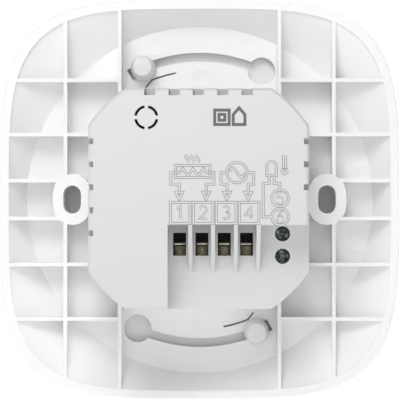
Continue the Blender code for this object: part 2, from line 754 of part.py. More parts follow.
def make_power_parts():
    """Relay, transformer, capacitors and fuse on the rear side of the power board."""
    relay = box("relay", (5.2 * MM, ON_BOARD, -3.0 * MM), (22.0 * MM, ON_BOARD + 15.3 * MM, 12.5 * MM))
    part(relay, "blue_plastic")

    middle = (-5.6 * MM, 9.0 * MM)
    leg, window, centre_leg, height = 2.3 * MM, 4.7 * MM, 4.0 * MM, 14.0 * MM
    half = centre_leg / 2 + window + leg
    left, right = middle[0] - half, middle[0] + half
    low, high = ON_BOARD + 0.7 * MM, ON_BOARD + 0.7 * MM + height
    loops = [[(left, low), (right, low), (right, high), (left, high)]]
    for side in (-1, 1):
        near = middle[0] + side * centre_leg / 2
        far = middle[0] + side * (centre_leg / 2 + window)
        loops.append([(near, low + leg), (far, low + leg), (far, high - leg), (near, high - leg)])
    core_half = 2.6 * MM
    part(prism("transformer_core", "Z", loops, middle[1] - core_half, middle[1] + core_half), "ferrite")
    reach = centre_leg / 2 + window - GAP
    winding = box(
        "transformer_winding",
        (middle[0] - reach, low + leg + GAP, middle[1] - core_half - window),
        (middle[0] + reach, high - leg - GAP, middle[1] + core_half + window),
    )
    slot = centre_leg / 2 + GAP
    core_space = box(
        "core_space",
        (middle[0] - slot, low, middle[1] - core_half - GAP),
        (middle[0] + slot, high, middle[1] + core_half + GAP),
    )
    part(cut(winding, core_space), "tape")

    film_high = (21.9 * MM, ON_BOARD + 11.0 * MM, -5.4 * MM)
    film = box("film_capacitor", (9.4 * MM, ON_BOARD, -11.4 * MM), film_high)
    part(film, "tape")
    can = [
        (0.0, ON_BOARD + 0.4 * MM),
        (CAN_RADIUS, ON_BOARD + 0.4 * MM),
        (CAN_RADIUS, ON_BOARD + CAN_HEIGHT - 0.4 * MM),
        (CAN_RADIUS - 0.4 * MM, ON_BOARD + CAN_HEIGHT),
        (0.0, ON_BOARD + CAN_HEIGHT),
    ]
    can_x = RECESS_X + BOX_WALL + CAN_RADIUS + GAP
    part(turned("filter_capacitor", can, can_x, CAN_Z, 24), "sleeve")
    fuse = rod("fuse", "Y", ON_BOARD, ON_BOARD + 8.0 * MM, (-19.0 * MM, 8.6 * MM), 3.6 * MM, 20)
    part(fuse, "black_plastic")


def make_mains_terminals():
    """Four wire clamps in one block. Each screw is driven up from below and lifts a pressure plate."""
    cage_top = WINDOW_TOP + CAGE_WALL
    cage_bottom = WINDOW_BOTTOM - CAGE_SOLID
    block_top = cage_top + GAP + CAGE_WALL
    block_bottom = cage_bottom - 5.0 * MM
    left = pole_x(POLES - 1) - POLE_PITCH / 2
    right = pole_x(0) + POLE_PITCH / 2
    block = box("terminal_block", (left, ON_BOARD, block_bottom), (right, BLOCK_TOP, block_top))
    chambers, mouths, bores = [], [], []
    y0, y1 = TERMINAL_Y - CAGE_DEPTH / 2, TERMINAL_Y + CAGE_DEPTH / 2
    for i in range(POLES):
        x = pole_x(i)
        half = CAGE_WIDTH / 2 + GAP
        chambers.append(
            box(
                f"chamber_{i}",
                (x - half, y0 - GAP, cage_bottom - GAP),
                (x + half, y1 + GAP, cage_top + GAP),
            )
        )
        mouth = WINDOW_WIDTH / 2 + CAGE_WALL / 2
        mouths.append(
            box(f"mouth_{i}", (x - mouth, y1, WINDOW_BOTTOM), (x + mouth, BLOCK_TOP + OVER, WINDOW_TOP))
        )
        radius = TERMINAL_SCREW_HEAD + GAP
        bores.append(
            rod(f"head_bore_{i}", "Z", block_bottom - OVER, cage_bottom, (x, TERMINAL_Y), radius, 16)
        )
    cut(block, merged("chambers", chambers), merged("mouths", mouths), merged("head_bores", bores))
    part(block, "black_plastic")
    for i in range(POLES):
        x = pole_x(i)
        half = CAGE_WIDTH / 2
        cage = box(f"terminal_cage_{i + 1}", (x - half, y0, cage_bottom), (x + half, y1, cage_top))
        opening = box(
            f"cage_opening_{i}",
            (x - half + CAGE_WALL, y0 - OVER, WINDOW_BOTTOM),
            (x + half - CAGE_WALL, y1 + OVER, WINDOW_TOP),
        )
        radius = TERMINAL_SCREW_RADIUS + GAP
        place = (x, TERMINAL_Y)
        thread = rod(f"cage_bore_{i}", "Z", cage_bottom - OVER, WINDOW_BOTTOM + OVER, place, radius, 16)
        part(cut(cage, opening, thread), "brass")
        pad_half = half - CAGE_WALL - GAP
        pad = box(
            f"terminal_pad_{i + 1}",
            (x - pad_half, y0 + OVER, PAD_TOP - PAD_THICKNESS),
            (x + pad_half, y1 - GAP, PAD_TOP),
        )
        part(pad, "brass", (x, TERMINAL_Y, PAD_TOP - PAD_THICKNESS))
        make_terminal_screw(i, x, cage_bottom)


def make_terminal_screw(index, x, cage_bottom):
    tip = PAD_TOP - PAD_THICKNESS - GAP
    head = cage_bottom - GAP - TERMINAL_TRAVEL
    foot = head - TERMINAL_SCREW_HEAD_HEIGHT
    place = (x, TERMINAL_Y)
    screw = rod(f"terminal_screw_{index + 1}", "Z", foot, head, place, TERMINAL_SCREW_HEAD, 16)
    shank = rod(f"terminal_shank_{index}", "Z", head - OVER / 2, tip, place, TERMINAL_SCREW_RADIUS, 16)
    reach = TERMINAL_SCREW_HEAD + OVER
    slot = box(
        f"terminal_slot_{index}",
        (x - reach, TERMINAL_Y - GAP, foot - OVER),
        (x + reach, TERMINAL_Y + GAP, foot + TERMINAL_SCREW_HEAD_HEIGHT / 2),
    )
    part(cut(unite(screw, shank), slot), "brass", (x, TERMINAL_Y, tip))


def make_sensor_terminals():
    """Two small clamps in their own block. Their screws face the rear."""
    top = sensor_z(0) + POLE_PITCH / 2
    bottom = sensor_z(SENSOR_POLES - 1) - POLE_PITCH / 2
    block = box("sensor_block", (SENSOR_BLOCK[0], ON_BOARD, bottom), (SENSOR_BLOCK[1], BLOCK_TOP, top))
    length, height, width = SENSOR_CAGE
    cage_low = SENSOR_WIRE_Y - 2.0 * MM
    cage_high = cage_low + height
    chambers, bores, wires = [], [], []
    for i in range(SENSOR_POLES):
        z = sensor_z(i)
        low = (SENSOR_X - length / 2 - GAP, cage_low - GAP, z - width / 2 - GAP)
        high = (SENSOR_X + length / 2 + GAP, cage_high + GAP, z + width / 2 + GAP)
        chambers.append(box(f"sensor_chamber_{i}", low, high))
        radius = SENSOR_SCREW_HEAD + GAP
        bores.append(rod(f"sensor_bore_{i}", "Y", cage_high, BLOCK_TOP + OVER, (SENSOR_X, z), radius, 16))
        start = SENSOR_BLOCK[0] - OVER
        radius = WIRE_HOLE_RADIUS * 0.8
        wires.append(rod(f"sensor_wire_{i}", "X", start, SENSOR_X, (SENSOR_WIRE_Y, z), radius, 12))
    cut(block, merged("sensor_chambers", chambers), merged("sensor_bores", bores))
    cut(block, merged("sensor_wires", wires))
    part(block, "green_plastic")
    opening_high = SENSOR_WIRE_Y + 1.6 * MM
    for i in range(SENSOR_POLES):
        z = sensor_z(i)
        low = (SENSOR_X - length / 2, cage_low, z - width / 2)
        high = (SENSOR_X + length / 2, cage_high, z + width / 2)
        cage = box(f"sensor_cage_{i + 1}", low, high)
        low = (SENSOR_X - length, cage_low + CAGE_WALL, z - width / 2 + CAGE_WALL)
        high = (SENSOR_X + length, opening_high, z + width / 2 - CAGE_WALL)
        opening = box(f"sensor_opening_{i}", low, high)
        radius = SENSOR_SCREW_RADIUS + GAP
        place = (SENSOR_X, z)
        thread = rod(f"sensor_thread_{i}", "Y", opening_high - OVER, cage_high + OVER, place, radius, 12)
        part(cut(cage, opening, thread), "steel")
        pad_half = width / 2 - CAGE_WALL - GAP
        pad_rear = opening_high - GAP
        pad = box(
            f"sensor_pad_{i + 1}",
            (SENSOR_X - length / 2, pad_rear - CAGE_WALL, z - pad_half),
            (SENSOR_X + length / 2, pad_rear, z + pad_half),
        )
        part(pad, "steel", (SENSOR_X, pad_rear, z))
        make_sensor_screw(i, z, pad_rear, cage_high)


def make_sensor_screw(index, z, pad_rear, cage_high):
    tip = pad_rear + GAP
    head = cage_high + GAP + SENSOR_TRAVEL
    crown = head + 1.2 * MM
    place = (SENSOR_X, z)
    screw = rod(f"sensor_screw_{index + 1}", "Y", head, crown, place, SENSOR_SCREW_HEAD, 16)
    shank = rod(f"sensor_shank_{index}", "Y", tip, head + OVER / 2, place, SENSOR_SCREW_RADIUS, 12)
    reach = SENSOR_SCREW_HEAD * 0.75
    half = 0.22 * MM
    depth = crown - 0.6 * MM
    across = box(
        f"sensor_slot_{index}",
        (SENSOR_X - reach, depth, z - half),
        (SENSOR_X + reach, crown + OVER, z + half),
    )
    down = box(
        f"sensor_cross_{index}",
        (SENSOR_X - half, depth, z - reach),
        (SENSOR_X + half, crown + OVER, z + reach),
    )
    part(cut(unite(screw, shank), across, down), "steel", (SENSOR_X, tip, z))


def make_contacts():
    """Spring pins that reach through the inner cover to the rings on the front unit's board."""
    step = PIN_BLOCK_FRONT + 0.6 * MM
    block = box(
        "contact_block",
        (PIN_BLOCK_LOW, PIN_BLOCK_FRONT, -PIN_BLOCK_HALF),
        (PIN_BLOCK_HIGH, -GAP, PIN_BLOCK_HALF),
    )
    narrow, wide = [], []
    for i in range(PINS):
        place = (PIN_FIRST_X + PIN_PITCH * i, 0.0)
        narrow.append(
            rod(f"pin_hole_{i}", "Y", PIN_BLOCK_FRONT - OVER, step + OVER, place, PIN_TIP_RADIUS + GAP, 12)
        )
        wide.append(rod(f"pin_bore_{i}", "Y", step, OVER, place, PIN_BODY_RADIUS + GAP, 12))
    part(cut(block, merged("pin_holes", narrow), merged("pin_bores", wide)), "black_plastic")
    shoulder = step + GAP
    end = -GAP - PIN_TRAVEL - OVER
    for i in range(PINS):
        x = PIN_FIRST_X + PIN_PITCH * i
        profile = [
            (0.0, PIN_TIP_Y),
            (PIN_TIP_RADIUS, PIN_TIP_Y + PIN_TIP_RADIUS / 2),
            (PIN_TIP_RADIUS, shoulder),
            (PIN_BODY_RADIUS, shoulder),
            (PIN_BODY_RADIUS, end),
            (0.0, end),
        ]
        part(turned(f"contact_pin_{i + 1}", profile, x, 0.0, 12), "gold")


# ---------------------------------------------------------------- front unit


def make_front_base():
    profile = [
        (CENTRE_OPENING, BASE_INNER),
        (FRONT_RADIUS - FRONT_WALL, BASE_INNER),
        (FRONT_RADIUS - FRONT_WALL, BASE_RIM),
        (FRONT_RADIUS, BASE_RIM),
        (FRONT_RADIUS, BASE_Y - 0.4 * MM),
        (FRONT_RADIUS - 0.4 * MM, BASE_Y),
        (CENTRE_OPENING, BASE_Y),
    ]
    base = turned("front_base", profile, steps=ROUND_STEPS, closed=True)
    bosses, rests, holes, seats = [], [], [], []
    for i, degrees in enumerate(COVER_SCREW_ANGLES):
        place = polar(COVER_SCREW_CIRCLE, degrees)
        bosses.append(rod(f"base_boss_{i}", "Y", BASE_RIM, BASE_INNER + OVER, place, COVER_BOSS_RADIUS))
        rest = polar(FRONT_BOARD_RADIUS * 0.8, degrees)
        rest_top = FRONT_BOARD_REAR + GAP
        rests.append(rod(f"board_rest_{i}", "Y", rest_top, BASE_INNER + OVER, rest, BOARD_REST_RADIUS, 16))
        holes.append(
            rod(f"cover_hole_{i}", "Y", BASE_RIM - OVER, BASE_Y + OVER, place, COVER_SCREW_RADIUS + GAP, 12)
        )
        seat = BASE_Y - HEAD_THICKNESS - 2 * GAP
        seats.append(rod(f"cover_seat_{i}", "Y", seat, BASE_Y + OVER, place, COVER_SCREW_HEAD + GAP, 16))
    unite(base, merged("base_bosses", bosses), merged("board_rests", rests))
    pegs = []
    for turn in (0, 180):
        place = lock_place(LOCKED_ANGLE, turn)
        low, high = BASE_INNER - OVER, BASE_Y + OVER
        pegs.append(rod(f"peg_hole_{turn}", "Y", low, high, place, PEG_NECK + GAP, 12))
    cut(base, merged("cover_holes", holes), merged("cover_seats", seats), merged("peg_holes", pegs))
    return part(base, "white_plastic")


def make_pegs():
    head = FLOOR_Y + GAP
    flange = BASE_INNER - GAP
    for i, turn in enumerate((0, 180)):
        x, z = lock_place(LOCKED_ANGLE, turn)
        profile = [
            (0.0, flange - 0.8 * MM),
            (PEG_FLANGE, flange - 0.8 * MM),
            (PEG_FLANGE, flange),
            (PEG_NECK, flange),
            (PEG_NECK, head),
            (PEG_HEAD, head),
            (PEG_HEAD, head + 1.0 * MM),
            (PEG_TIP, head + PEG_HEIGHT - 0.3 * MM),
            (PEG_TIP - 0.3 * MM, head + PEG_HEIGHT),
            (0.0, head + PEG_HEIGHT),
        ]
        part(turned(f"lock_peg_{i + 1}", profile, x, z, 20), "white_plastic")


def make_front_ring():
    start = BASE_RIM - GAP
    profile = [
        (GLASS_RADIUS + GAP, UNIT_FRONT),
        (FRONT_RADIUS - 1.2 * MM, UNIT_FRONT),
        (FRONT_RADIUS - 0.35 * MM, UNIT_FRONT + 0.35 * MM),
        (FRONT_RADIUS, UNIT_FRONT + 1.2 * MM),
        (FRONT_RADIUS, start),
        (FRONT_RADIUS - FRONT_WALL, start),
        (FRONT_RADIUS - FRONT_WALL, LIP_REAR),
        (LIP_RADIUS, LIP_REAR),
        (LIP_RADIUS, LIP_FRONT),
        (GLASS_RADIUS + GAP, LIP_FRONT),
    ]
    ring = turned("front_ring", profile, steps=ROUND_STEPS, closed=True)
    bosses, holes = [], []
    for i, degrees in enumerate(COVER_SCREW_ANGLES):
        place = polar(COVER_SCREW_CIRCLE, degrees)
        radius = COVER_BOSS_RADIUS * 0.8
        bosses.append(rod(f"ring_boss_{i}", "Y", LIP_FRONT + GAP, start, place, radius, 16))
        radius = COVER_SCREW_RADIUS + GAP
        holes.append(rod(f"ring_hole_{i}", "Y", LIP_REAR, start + OVER, place, radius, 12))
    cut(unite(ring, merged("ring_bosses", bosses)), merged("ring_holes", holes))
    return part(ring, "white_plastic")


def make_cover_screws():
    for i, degrees in enumerate(COVER_SCREW_ANGLES):
        x, z = polar(COVER_SCREW_CIRCLE, degrees)
        rear = BASE_Y - GAP
        seat = rear - HEAD_THICKNESS
        tip = LIP_REAR + GAP
        profile = [
            (0.0, tip),
            (COVER_SCREW_RADIUS, tip + GAP),
            (COVER_SCREW_RADIUS, seat),
            (COVER_SCREW_HEAD, seat),
            (COVER_SCREW_HEAD, rear),
            (0.0, rear),
        ]
        part(turned(f"front_screw_{i + 1}", profile, x, z, 12), "steel")


def make_front_inside():
    glass = [
        (0.0, GLASS_FRONT),
        (GLASS_RADIUS - 0.3 * MM, GLASS_FRONT),
        (GLASS_RADIUS, GLASS_FRONT + 0.3 * MM),
        (GLASS_RADIUS, GLASS_REAR),
        (0.0, GLASS_REAR),
    ]
    part(turned("touch_glass", glass, steps=ROUND_STEPS), "glass")
    board = rod(
        "control_board", "Y", FRONT_BOARD_FRONT, FRONT_BOARD_REAR, (0.0, 0.0), FRONT_BOARD_RADIUS, 64
    )
    part(board, "board")
    half_x, half_z = DISPLAY_SIZE[0] / 2, DISPLAY_SIZE[1] / 2
    panel_front = GLASS_REAR + GAP
    panel_rear = panel_front + DISPLAY_THICKNESS
    panel = box(
        "display_panel",
        (-half_x, panel_front, DISPLAY_Z - half_z),
        (half_x, panel_rear, DISPLAY_Z + half_z),
    )
    part(panel, "screen")
    guide = box(
        "light_guide",
        (-half_x, panel_rear + GAP, DISPLAY_Z - half_z),
        (half_x, FRONT_BOARD_FRONT - GAP, DISPLAY_Z + half_z),
    )
    part(guide, "diffuser")
    for i in range(SPRINGS):
        x = (i - (SPRINGS - 1) / 2) * SPRING_PITCH
        place = (x, SPRING_Z)
        low, high = GLASS_REAR + GAP, FRONT_BOARD_FRONT - GAP
        spring = rod(f"touch_spring_{i + 1}", "Y", low, high, place, SPRING_RADIUS, 16)
        bore = rod(f"spring_bore_{i}", "Y", low - OVER, high + OVER, place, SPRING_RADIUS - 2 * GAP, 16)
        part(cut(spring, bore), "steel")
    chip_rear = FRONT_BOARD_REAR + GAP + 0.9 * MM
    chip = box(
        "controller_chip",
        (-5.0 * MM, FRONT_BOARD_REAR + GAP, -26.0 * MM),
        (5.0 * MM, chip_rear, -16.0 * MM),
    )
    part(chip, "black_plastic")
    cell_front = FRONT_BOARD_FRONT - GAP - CELL_THICKNESS
    cell = rod("clock_cell", "Y", cell_front, FRONT_BOARD_FRONT - GAP, (0.0, 26.6 * MM), CELL_RADIUS, 32)
    part(cell, "steel")
    sensor_front = FRONT_BOARD_FRONT - GAP - 2.4 * MM
    sensor = box(
        "air_sensor",
        (-1.3 * MM, sensor_front, -32.6 * MM),
        (1.3 * MM, FRONT_BOARD_FRONT - GAP, -28.6 * MM),
    )
    part(sensor, "black_plastic")


make_rear_housing()
make_inner_cover()
make_long_screws()
make_power_board()
make_power_parts()
make_mains_terminals()
make_sensor_terminals()
make_contacts()
before_front = set(PARTS.objects)
make_front_base()
make_pegs()
make_front_ring()
make_cover_screws()
make_front_inside()
hang_on_twist_axis("front_unit", [made for made in PARTS.objects if made not in before_front])
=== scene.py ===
"""Looks of the wall thermostat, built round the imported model: moulded housing with raised legends and
ejector marks, threaded clamp screws, round front unit with its lit display, studio stage and camera.
"""

import json
import math

import bmesh
import bpy
import numpy as np
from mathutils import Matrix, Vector


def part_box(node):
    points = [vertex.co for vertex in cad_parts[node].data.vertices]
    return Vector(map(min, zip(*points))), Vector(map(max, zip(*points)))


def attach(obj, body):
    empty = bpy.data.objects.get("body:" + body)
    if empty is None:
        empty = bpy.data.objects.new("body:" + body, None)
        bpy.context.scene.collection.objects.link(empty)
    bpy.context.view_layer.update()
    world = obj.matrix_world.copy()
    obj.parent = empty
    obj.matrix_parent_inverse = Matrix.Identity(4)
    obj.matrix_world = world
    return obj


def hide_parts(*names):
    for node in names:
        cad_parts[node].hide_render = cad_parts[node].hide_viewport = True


bl_info = {
    "name": "Wall thermostat looks",
    "version": (1, 0, 0),
    "blender": (4, 5, 0),
    "location": "View3D > Sidebar > Thermostat",
    "description": "Builds the visible pieces, materials, lights and camera of a wall thermostat",
    "category": "Object",
}

MM = 0.001
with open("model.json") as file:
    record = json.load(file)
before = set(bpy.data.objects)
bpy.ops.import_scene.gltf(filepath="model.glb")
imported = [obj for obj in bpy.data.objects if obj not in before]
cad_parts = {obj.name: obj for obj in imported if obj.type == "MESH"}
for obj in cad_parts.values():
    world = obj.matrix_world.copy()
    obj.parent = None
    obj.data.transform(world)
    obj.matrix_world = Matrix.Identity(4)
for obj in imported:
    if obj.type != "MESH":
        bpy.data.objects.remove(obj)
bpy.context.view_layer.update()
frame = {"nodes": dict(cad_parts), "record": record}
NODES = frame["nodes"]


def low(node):
    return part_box(node)[0]


def high(node):
    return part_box(node)[1]


def middle(node):
    return (low(node) + high(node)) / 2


def numbered(stem, count):
    return [f"{stem}_{i + 1}" for i in range(count)]


HOUSING_REAR = high("rear_housing").y
FLOOR_Y = -6.6 * MM
POLE = 1e-6  # radius of a closed pole, in metres

# ---------------------------------------------------------------- meshes


def new_piece(name, points, faces, smooth=40.0):
    """An object at the origin from an array of points and a list of face corner lists."""
    mesh = bpy.data.meshes.new(name)
    mesh.from_pydata(points.reshape(-1, 3).tolist(), [], [list(map(int, face)) for face in faces])
    mesh.update()
    made = bpy.data.objects.new(name, mesh)
    bpy.context.scene.collection.objects.link(made)
    if smooth:
        mesh.shade_smooth()
        mesh.set_sharp_from_angle(angle=math.radians(smooth))
    return made


def grid_faces(rows, columns, wrap_rows=False, wrap_columns=True):
    """Quads between the points of a grid that is stored row by row."""
    r = np.arange(rows if wrap_rows else rows - 1)[:, None]
    c = np.arange(columns if wrap_columns else columns - 1)[None, :]
    r2, c2 = (r + 1) % rows, (c + 1) % columns
    corners = [r * columns + c, r * columns + c2, r2 * columns + c2, r2 * columns + c]
    return np.stack([np.broadcast_to(k, (r.shape[0], c.shape[1])) for k in corners], -1).reshape(-1, 4)


def joined(parts):
    """Several (points, faces) pairs as one."""
    points, faces, start = [], [], 0
    for some, corners in parts:
        some = some.reshape(-1, 3)
        points.append(some)
        faces += [[int(k) + start for k in face] for face in corners]
        start += len(some)
    return np.concatenate(points), faces


def skin(rings, closed=False):
    """A closed surface through rings (rows, columns, 3). Flat caps end it unless its rows close up."""
    rows, columns = rings.shape[:2]
    faces = grid_faces(rows, columns, wrap_rows=closed).tolist()
    if not closed:
        faces.append(list(range(columns))[::-1])
        faces.append([(rows - 1) * columns + k for k in range(columns)])
    return rings.reshape(-1, 3), faces


def outward(points, faces):
    """The same surface with its faces turned so that it holds a positive volume: the sum of a . (b x c)
    over each face's fan of triangles."""
    fans = np.array([(face[0], b, c) for face in faces for b, c in zip(face[1:-1], face[2:])])
    a, b, c = points[fans[:, 0]], points[fans[:, 1]], points[fans[:, 2]]
    volume = (a * np.cross(b, c)).sum()
    return (points, faces) if volume > 0 else (points, [list(face)[::-1] for face in faces])


def revolved(profile, centre=(0.0, 0.0), steps=96, closed=False):
    """Surface of revolution about a line along Y: a point (radius, y) goes round the centre (x, z)."""
    profile = np.array(profile, float)
    angle = np.arange(steps) * math.tau / steps
    x = centre[0] + profile[:, :1] * np.cos(angle)[None, :]
    z = centre[1] + profile[:, :1] * np.sin(angle)[None, :]
    y = np.broadcast_to(profile[:, 1:2], x.shape)
    return outward(*skin(np.stack([x, y, z], -1), closed))


def off_axis(profile):
    """A profile whose points on the axis stand a micrometre off it, so that its poles close."""
    return [(max(r, POLE), y) for r, y in profile]


def rounded(profile, radius, steps=4, closed=False):
    """A profile whose corners are replaced by arcs, drawn as quadratic curves between cut-back points."""
    profile = [np.array(p, float) for p in profile]
    count = len(profile)
    result = []
    for i, corner in enumerate(profile):
        if not closed and i in (0, count - 1):
            result.append(corner)
            continue
        before, after = profile[i - 1], profile[(i + 1) % count]
        reach = min(radius, 0.45 * np.linalg.norm(before - corner), 0.45 * np.linalg.norm(after - corner))
        start = corner + (before - corner) / max(np.linalg.norm(before - corner), 1e-9) * reach
        end = corner + (after - corner) / max(np.linalg.norm(after - corner), 1e-9) * reach
        for t in np.linspace(0, 1, steps + 1):
            result.append((1 - t) ** 2 * start + 2 * t * (1 - t) * corner + t * t * end)
    return result


def ribbon(path, width, height, face_y, closed, slope):
    """A raised line on a face that looks along +Y: a trapezoid carried along a path of (x, z) points,
    mitred at the corners, with its feet sunk a little into the face."""
    path = np.array(path, float)
    if closed:
        ahead = np.roll(path, -1, 0) - path
        behind = path - np.roll(path, 1, 0)
    else:
        step = np.diff(path, axis=0)
        ahead = np.concatenate([step, step[-1:]])
        behind = np.concatenate([step[:1], step])
    unit = [d / np.maximum(np.linalg.norm(d, axis=1, keepdims=True), 1e-12) for d in (behind, ahead)]
    normals = [np.stack([-d[:, 1], d[:, 0]], -1) for d in unit]
    mitre = normals[0] + normals[1]
    mitre /= np.maximum((mitre * normals[0]).sum(1, keepdims=True), 0.35)
    foot, top = width / 2, width / 2 - slope * MM
    sides = [(foot, 0.0), (top, height), (-top, height), (-foot, 0.0)]
    rings = np.zeros((len(path), 4, 3))
    for k, (reach, rise) in enumerate(sides):
        place = path + mitre * reach
        rings[:, k, 0], rings[:, k, 1], rings[:, k, 2] = place[:, 0], face_y + rise, place[:, 1]
    rings[:, (0, 3), 1] -= 0.02 * MM
    return outward(*skin(rings, closed))


def swept_tube(path, radius, sides=8):
    """A round tube round a path of points, kept untwisted by one fixed side direction along Y."""
    path = np.array(path, float)
    along = np.gradient(path, axis=0)
    along /= np.linalg.norm(along, axis=1, keepdims=True)
    fixed = np.broadcast_to(np.array([0.0, 1.0, 0.0]), path.shape)
    side = np.cross(along, fixed)
    side /= np.maximum(np.linalg.norm(side, axis=1, keepdims=True), 1e-9)
    other = np.cross(along, side)
    angle = np.arange(sides) * math.tau / sides
    rings = (
        path[:, None, :]
        + radius * np.cos(angle)[None, :, None] * side[:, None, :]
        + radius * np.sin(angle)[None, :, None] * other[:, None, :]
    )
    return outward(*skin(rings))


def merged_copy(name, node, angle=28.0):
    """A copy of a CAD node with its doubles merged, smooth over its curves and sharp at its edges."""
    mesh = NODES[node].data.copy()
    mesh.name = name
    mesh.materials.clear()
    shape = bmesh.new()
    shape.from_mesh(mesh)
    bmesh.ops.remove_doubles(shape, verts=shape.verts, dist=2e-6)
    shape.to_mesh(mesh)
    shape.free()
    made = bpy.data.objects.new(name, mesh)
    bpy.context.scene.collection.objects.link(made)
    mesh.shade_smooth()
    even_normals(mesh, math.radians(angle))
    return made


def even_normals(mesh, angle):
    """Corner normals: the area-weighted mean of the faces round a vertex that lie within an angle of
    the corner's own face, so that flats stay flat whatever their triangles are."""
    loops, faces = len(mesh.loops), len(mesh.polygons)
    vertex, starts, totals = np.zeros(loops, np.int32), np.zeros(faces, np.int32), np.zeros(faces, np.int32)
    areas, normals = np.zeros(faces), np.zeros(faces * 3)
    mesh.loops.foreach_get("vertex_index", vertex)
    mesh.polygons.foreach_get("loop_start", starts)
    mesh.polygons.foreach_get("loop_total", totals)
    mesh.polygons.foreach_get("area", areas)
    mesh.polygons.foreach_get("normal", normals)
    normals = normals.reshape(-1, 3)
    owner = np.repeat(np.arange(faces), totals)[np.argsort(np.repeat(starts, totals), kind="stable")]
    order = np.argsort(vertex, kind="stable")
    counts = np.bincount(vertex, minlength=len(mesh.vertices))
    first = np.concatenate([[0], np.cumsum(counts)[:-1]])
    group = counts[vertex[order]]
    mine = np.repeat(order, group)
    offset = np.arange(len(mine)) - np.repeat(np.cumsum(group) - group, group)
    other = order[np.repeat(first[vertex[order]], group) + offset]
    a, b = owner[mine], owner[other]
    near = (normals[a] * normals[b]).sum(1) > math.cos(angle)
    total = np.zeros((loops, 3))
    np.add.at(total, mine[near], normals[b[near]] * areas[b[near], None])
    total /= np.maximum(np.linalg.norm(total, axis=1, keepdims=True), 1e-20)
    mesh.normals_split_custom_set(total.tolist())


def softened(name, node, width, segments=2, angle=28.0):
    """A merged copy of a CAD node whose edges are rounded."""
    made = merged_copy(name, node, angle)
    bevel = made.modifiers.new("rounded edges", "BEVEL")
    bevel.width = width
    bevel.segments = segments
    bevel.limit_method = "ANGLE"
    bevel.angle_limit = math.radians(angle)
    bevel.use_clamp_overlap = False
    bevel.miter_outer = "MITER_ARC"
    bevel.harden_normals = True
    bevel.loop_slide = False
    return made


# ---------------------------------------------------------------- shader maths


class Wire:
    """A shader value. Each operator adds one Math node, so formulas read as plain expressions."""

    def __init__(self, paint, socket):
        self.paint = paint
        self.socket = socket

    def _math(self, operation, first, second=None):
        inputs = [first] if second is None else [first, second]
        return self.paint.node("ShaderNodeMath", {"operation": operation}, dict(enumerate(inputs)))

    def __add__(self, other):
        return self._math("ADD", self, other)

    def __radd__(self, other):
        return self._math("ADD", other, self)

    def __sub__(self, other):
        return self._math("SUBTRACT", self, other)

    def __rsub__(self, other):
        return self._math("SUBTRACT", other, self)

    def __mul__(self, other):
        return self._math("MULTIPLY", self, other)

    def __rmul__(self, other):
        return self._math("MULTIPLY", other, self)

    def __truediv__(self, other):
        return self._math("DIVIDE", self, other)

    def __rtruediv__(self, other):
        return self._math("DIVIDE", other, self)

    def __gt__(self, other):
        return self._math("GREATER_THAN", self, other)

    def __lt__(self, other):
        return self._math("LESS_THAN", self, other)

    def __mod__(self, other):
        return self._math("FLOORED_MODULO", self, other)

    def __abs__(self):
        return self._math("ABSOLUTE", self)

    def sine(self):
        return self._math("SINE", self)

    def least(self, other):
        return self._math("MINIMUM", self, other)

    def most(self, other):
        return self._math("MAXIMUM", self, other)


class Paint:
    """One procedural material: a Principled shader whose varying sockets are linked to expressions."""

    def __init__(self, name, fixed):
        self.material = bpy.data.materials.new(name)
        self.material.use_nodes = True
        self.tree = self.material.node_tree
        self.shader = self.tree.nodes["Principled BSDF"]
        for socket, value in fixed.items():
            self.shader.inputs[socket].default_value = value
        self.places = self.node("ShaderNodeTexCoord", {}, {}, output="Object")

    def node(self, kind, settings, inputs, output=0):
        """Adds a node: settings first, then a value or a link for each named or numbered socket."""
        made = self.tree.nodes.new(kind)
        for key, value in settings.items():
            setattr(made, key, value)
        for key, value in inputs.items():
            self._feed(made.inputs[key], value)
        return Wire(self, made.outputs[output])

    def _feed(self, socket, value):
        if isinstance(value, Wire):
            self.tree.links.new(value.socket, socket)
        else:
            socket.default_value = value

    def noise(self, scale, detail=2.0, roughness=0.5, vector=None):
        inputs = {"Vector": vector or self.places, "Scale": scale, "Detail": detail, "Roughness": roughness}
        return self.node("ShaderNodeTexNoise", {}, inputs)

    def stretched(self, scale, turn=(0.0, 0.0, 0.0)):
        inputs = {"Vector": self.places, "Scale": scale, "Rotation": turn}
        return self.node("ShaderNodeMapping", {}, inputs)

    def cells(self, scale, output, vector=None):
        inputs = {"Vector": vector or self.places, "Scale": scale}
        return self.node("ShaderNodeTexVoronoi", {"feature": "F1"}, inputs, output)

    def axes(self):
        split = self.node("ShaderNodeSeparateXYZ", {}, {0: self.places})
        outputs = split.socket.node.outputs
        return [Wire(self, outputs[k]) for k in range(3)]

    def blend(self, share, first, second):
        """Mix of two colours, each a plain colour or a link."""
        made = self.tree.nodes.new("ShaderNodeMix")
        made.data_type = "RGBA"
        self._feed(made.inputs[0], share)
        for key, value in ((6, first), (7, second)):
            self._feed(made.inputs[key], value if isinstance(value, Wire) else (*value, 1.0))
        return Wire(self, made.outputs[2])

    def bump(self, height, distance):
        return self.node("ShaderNodeBump", {}, {"Height": height, "Distance": distance, "Strength": 1.0})

    def set(self, **links):
        for key, value in links.items():
            self._feed(self.shader.inputs[key.replace("_", " ")], value)
        return self.material


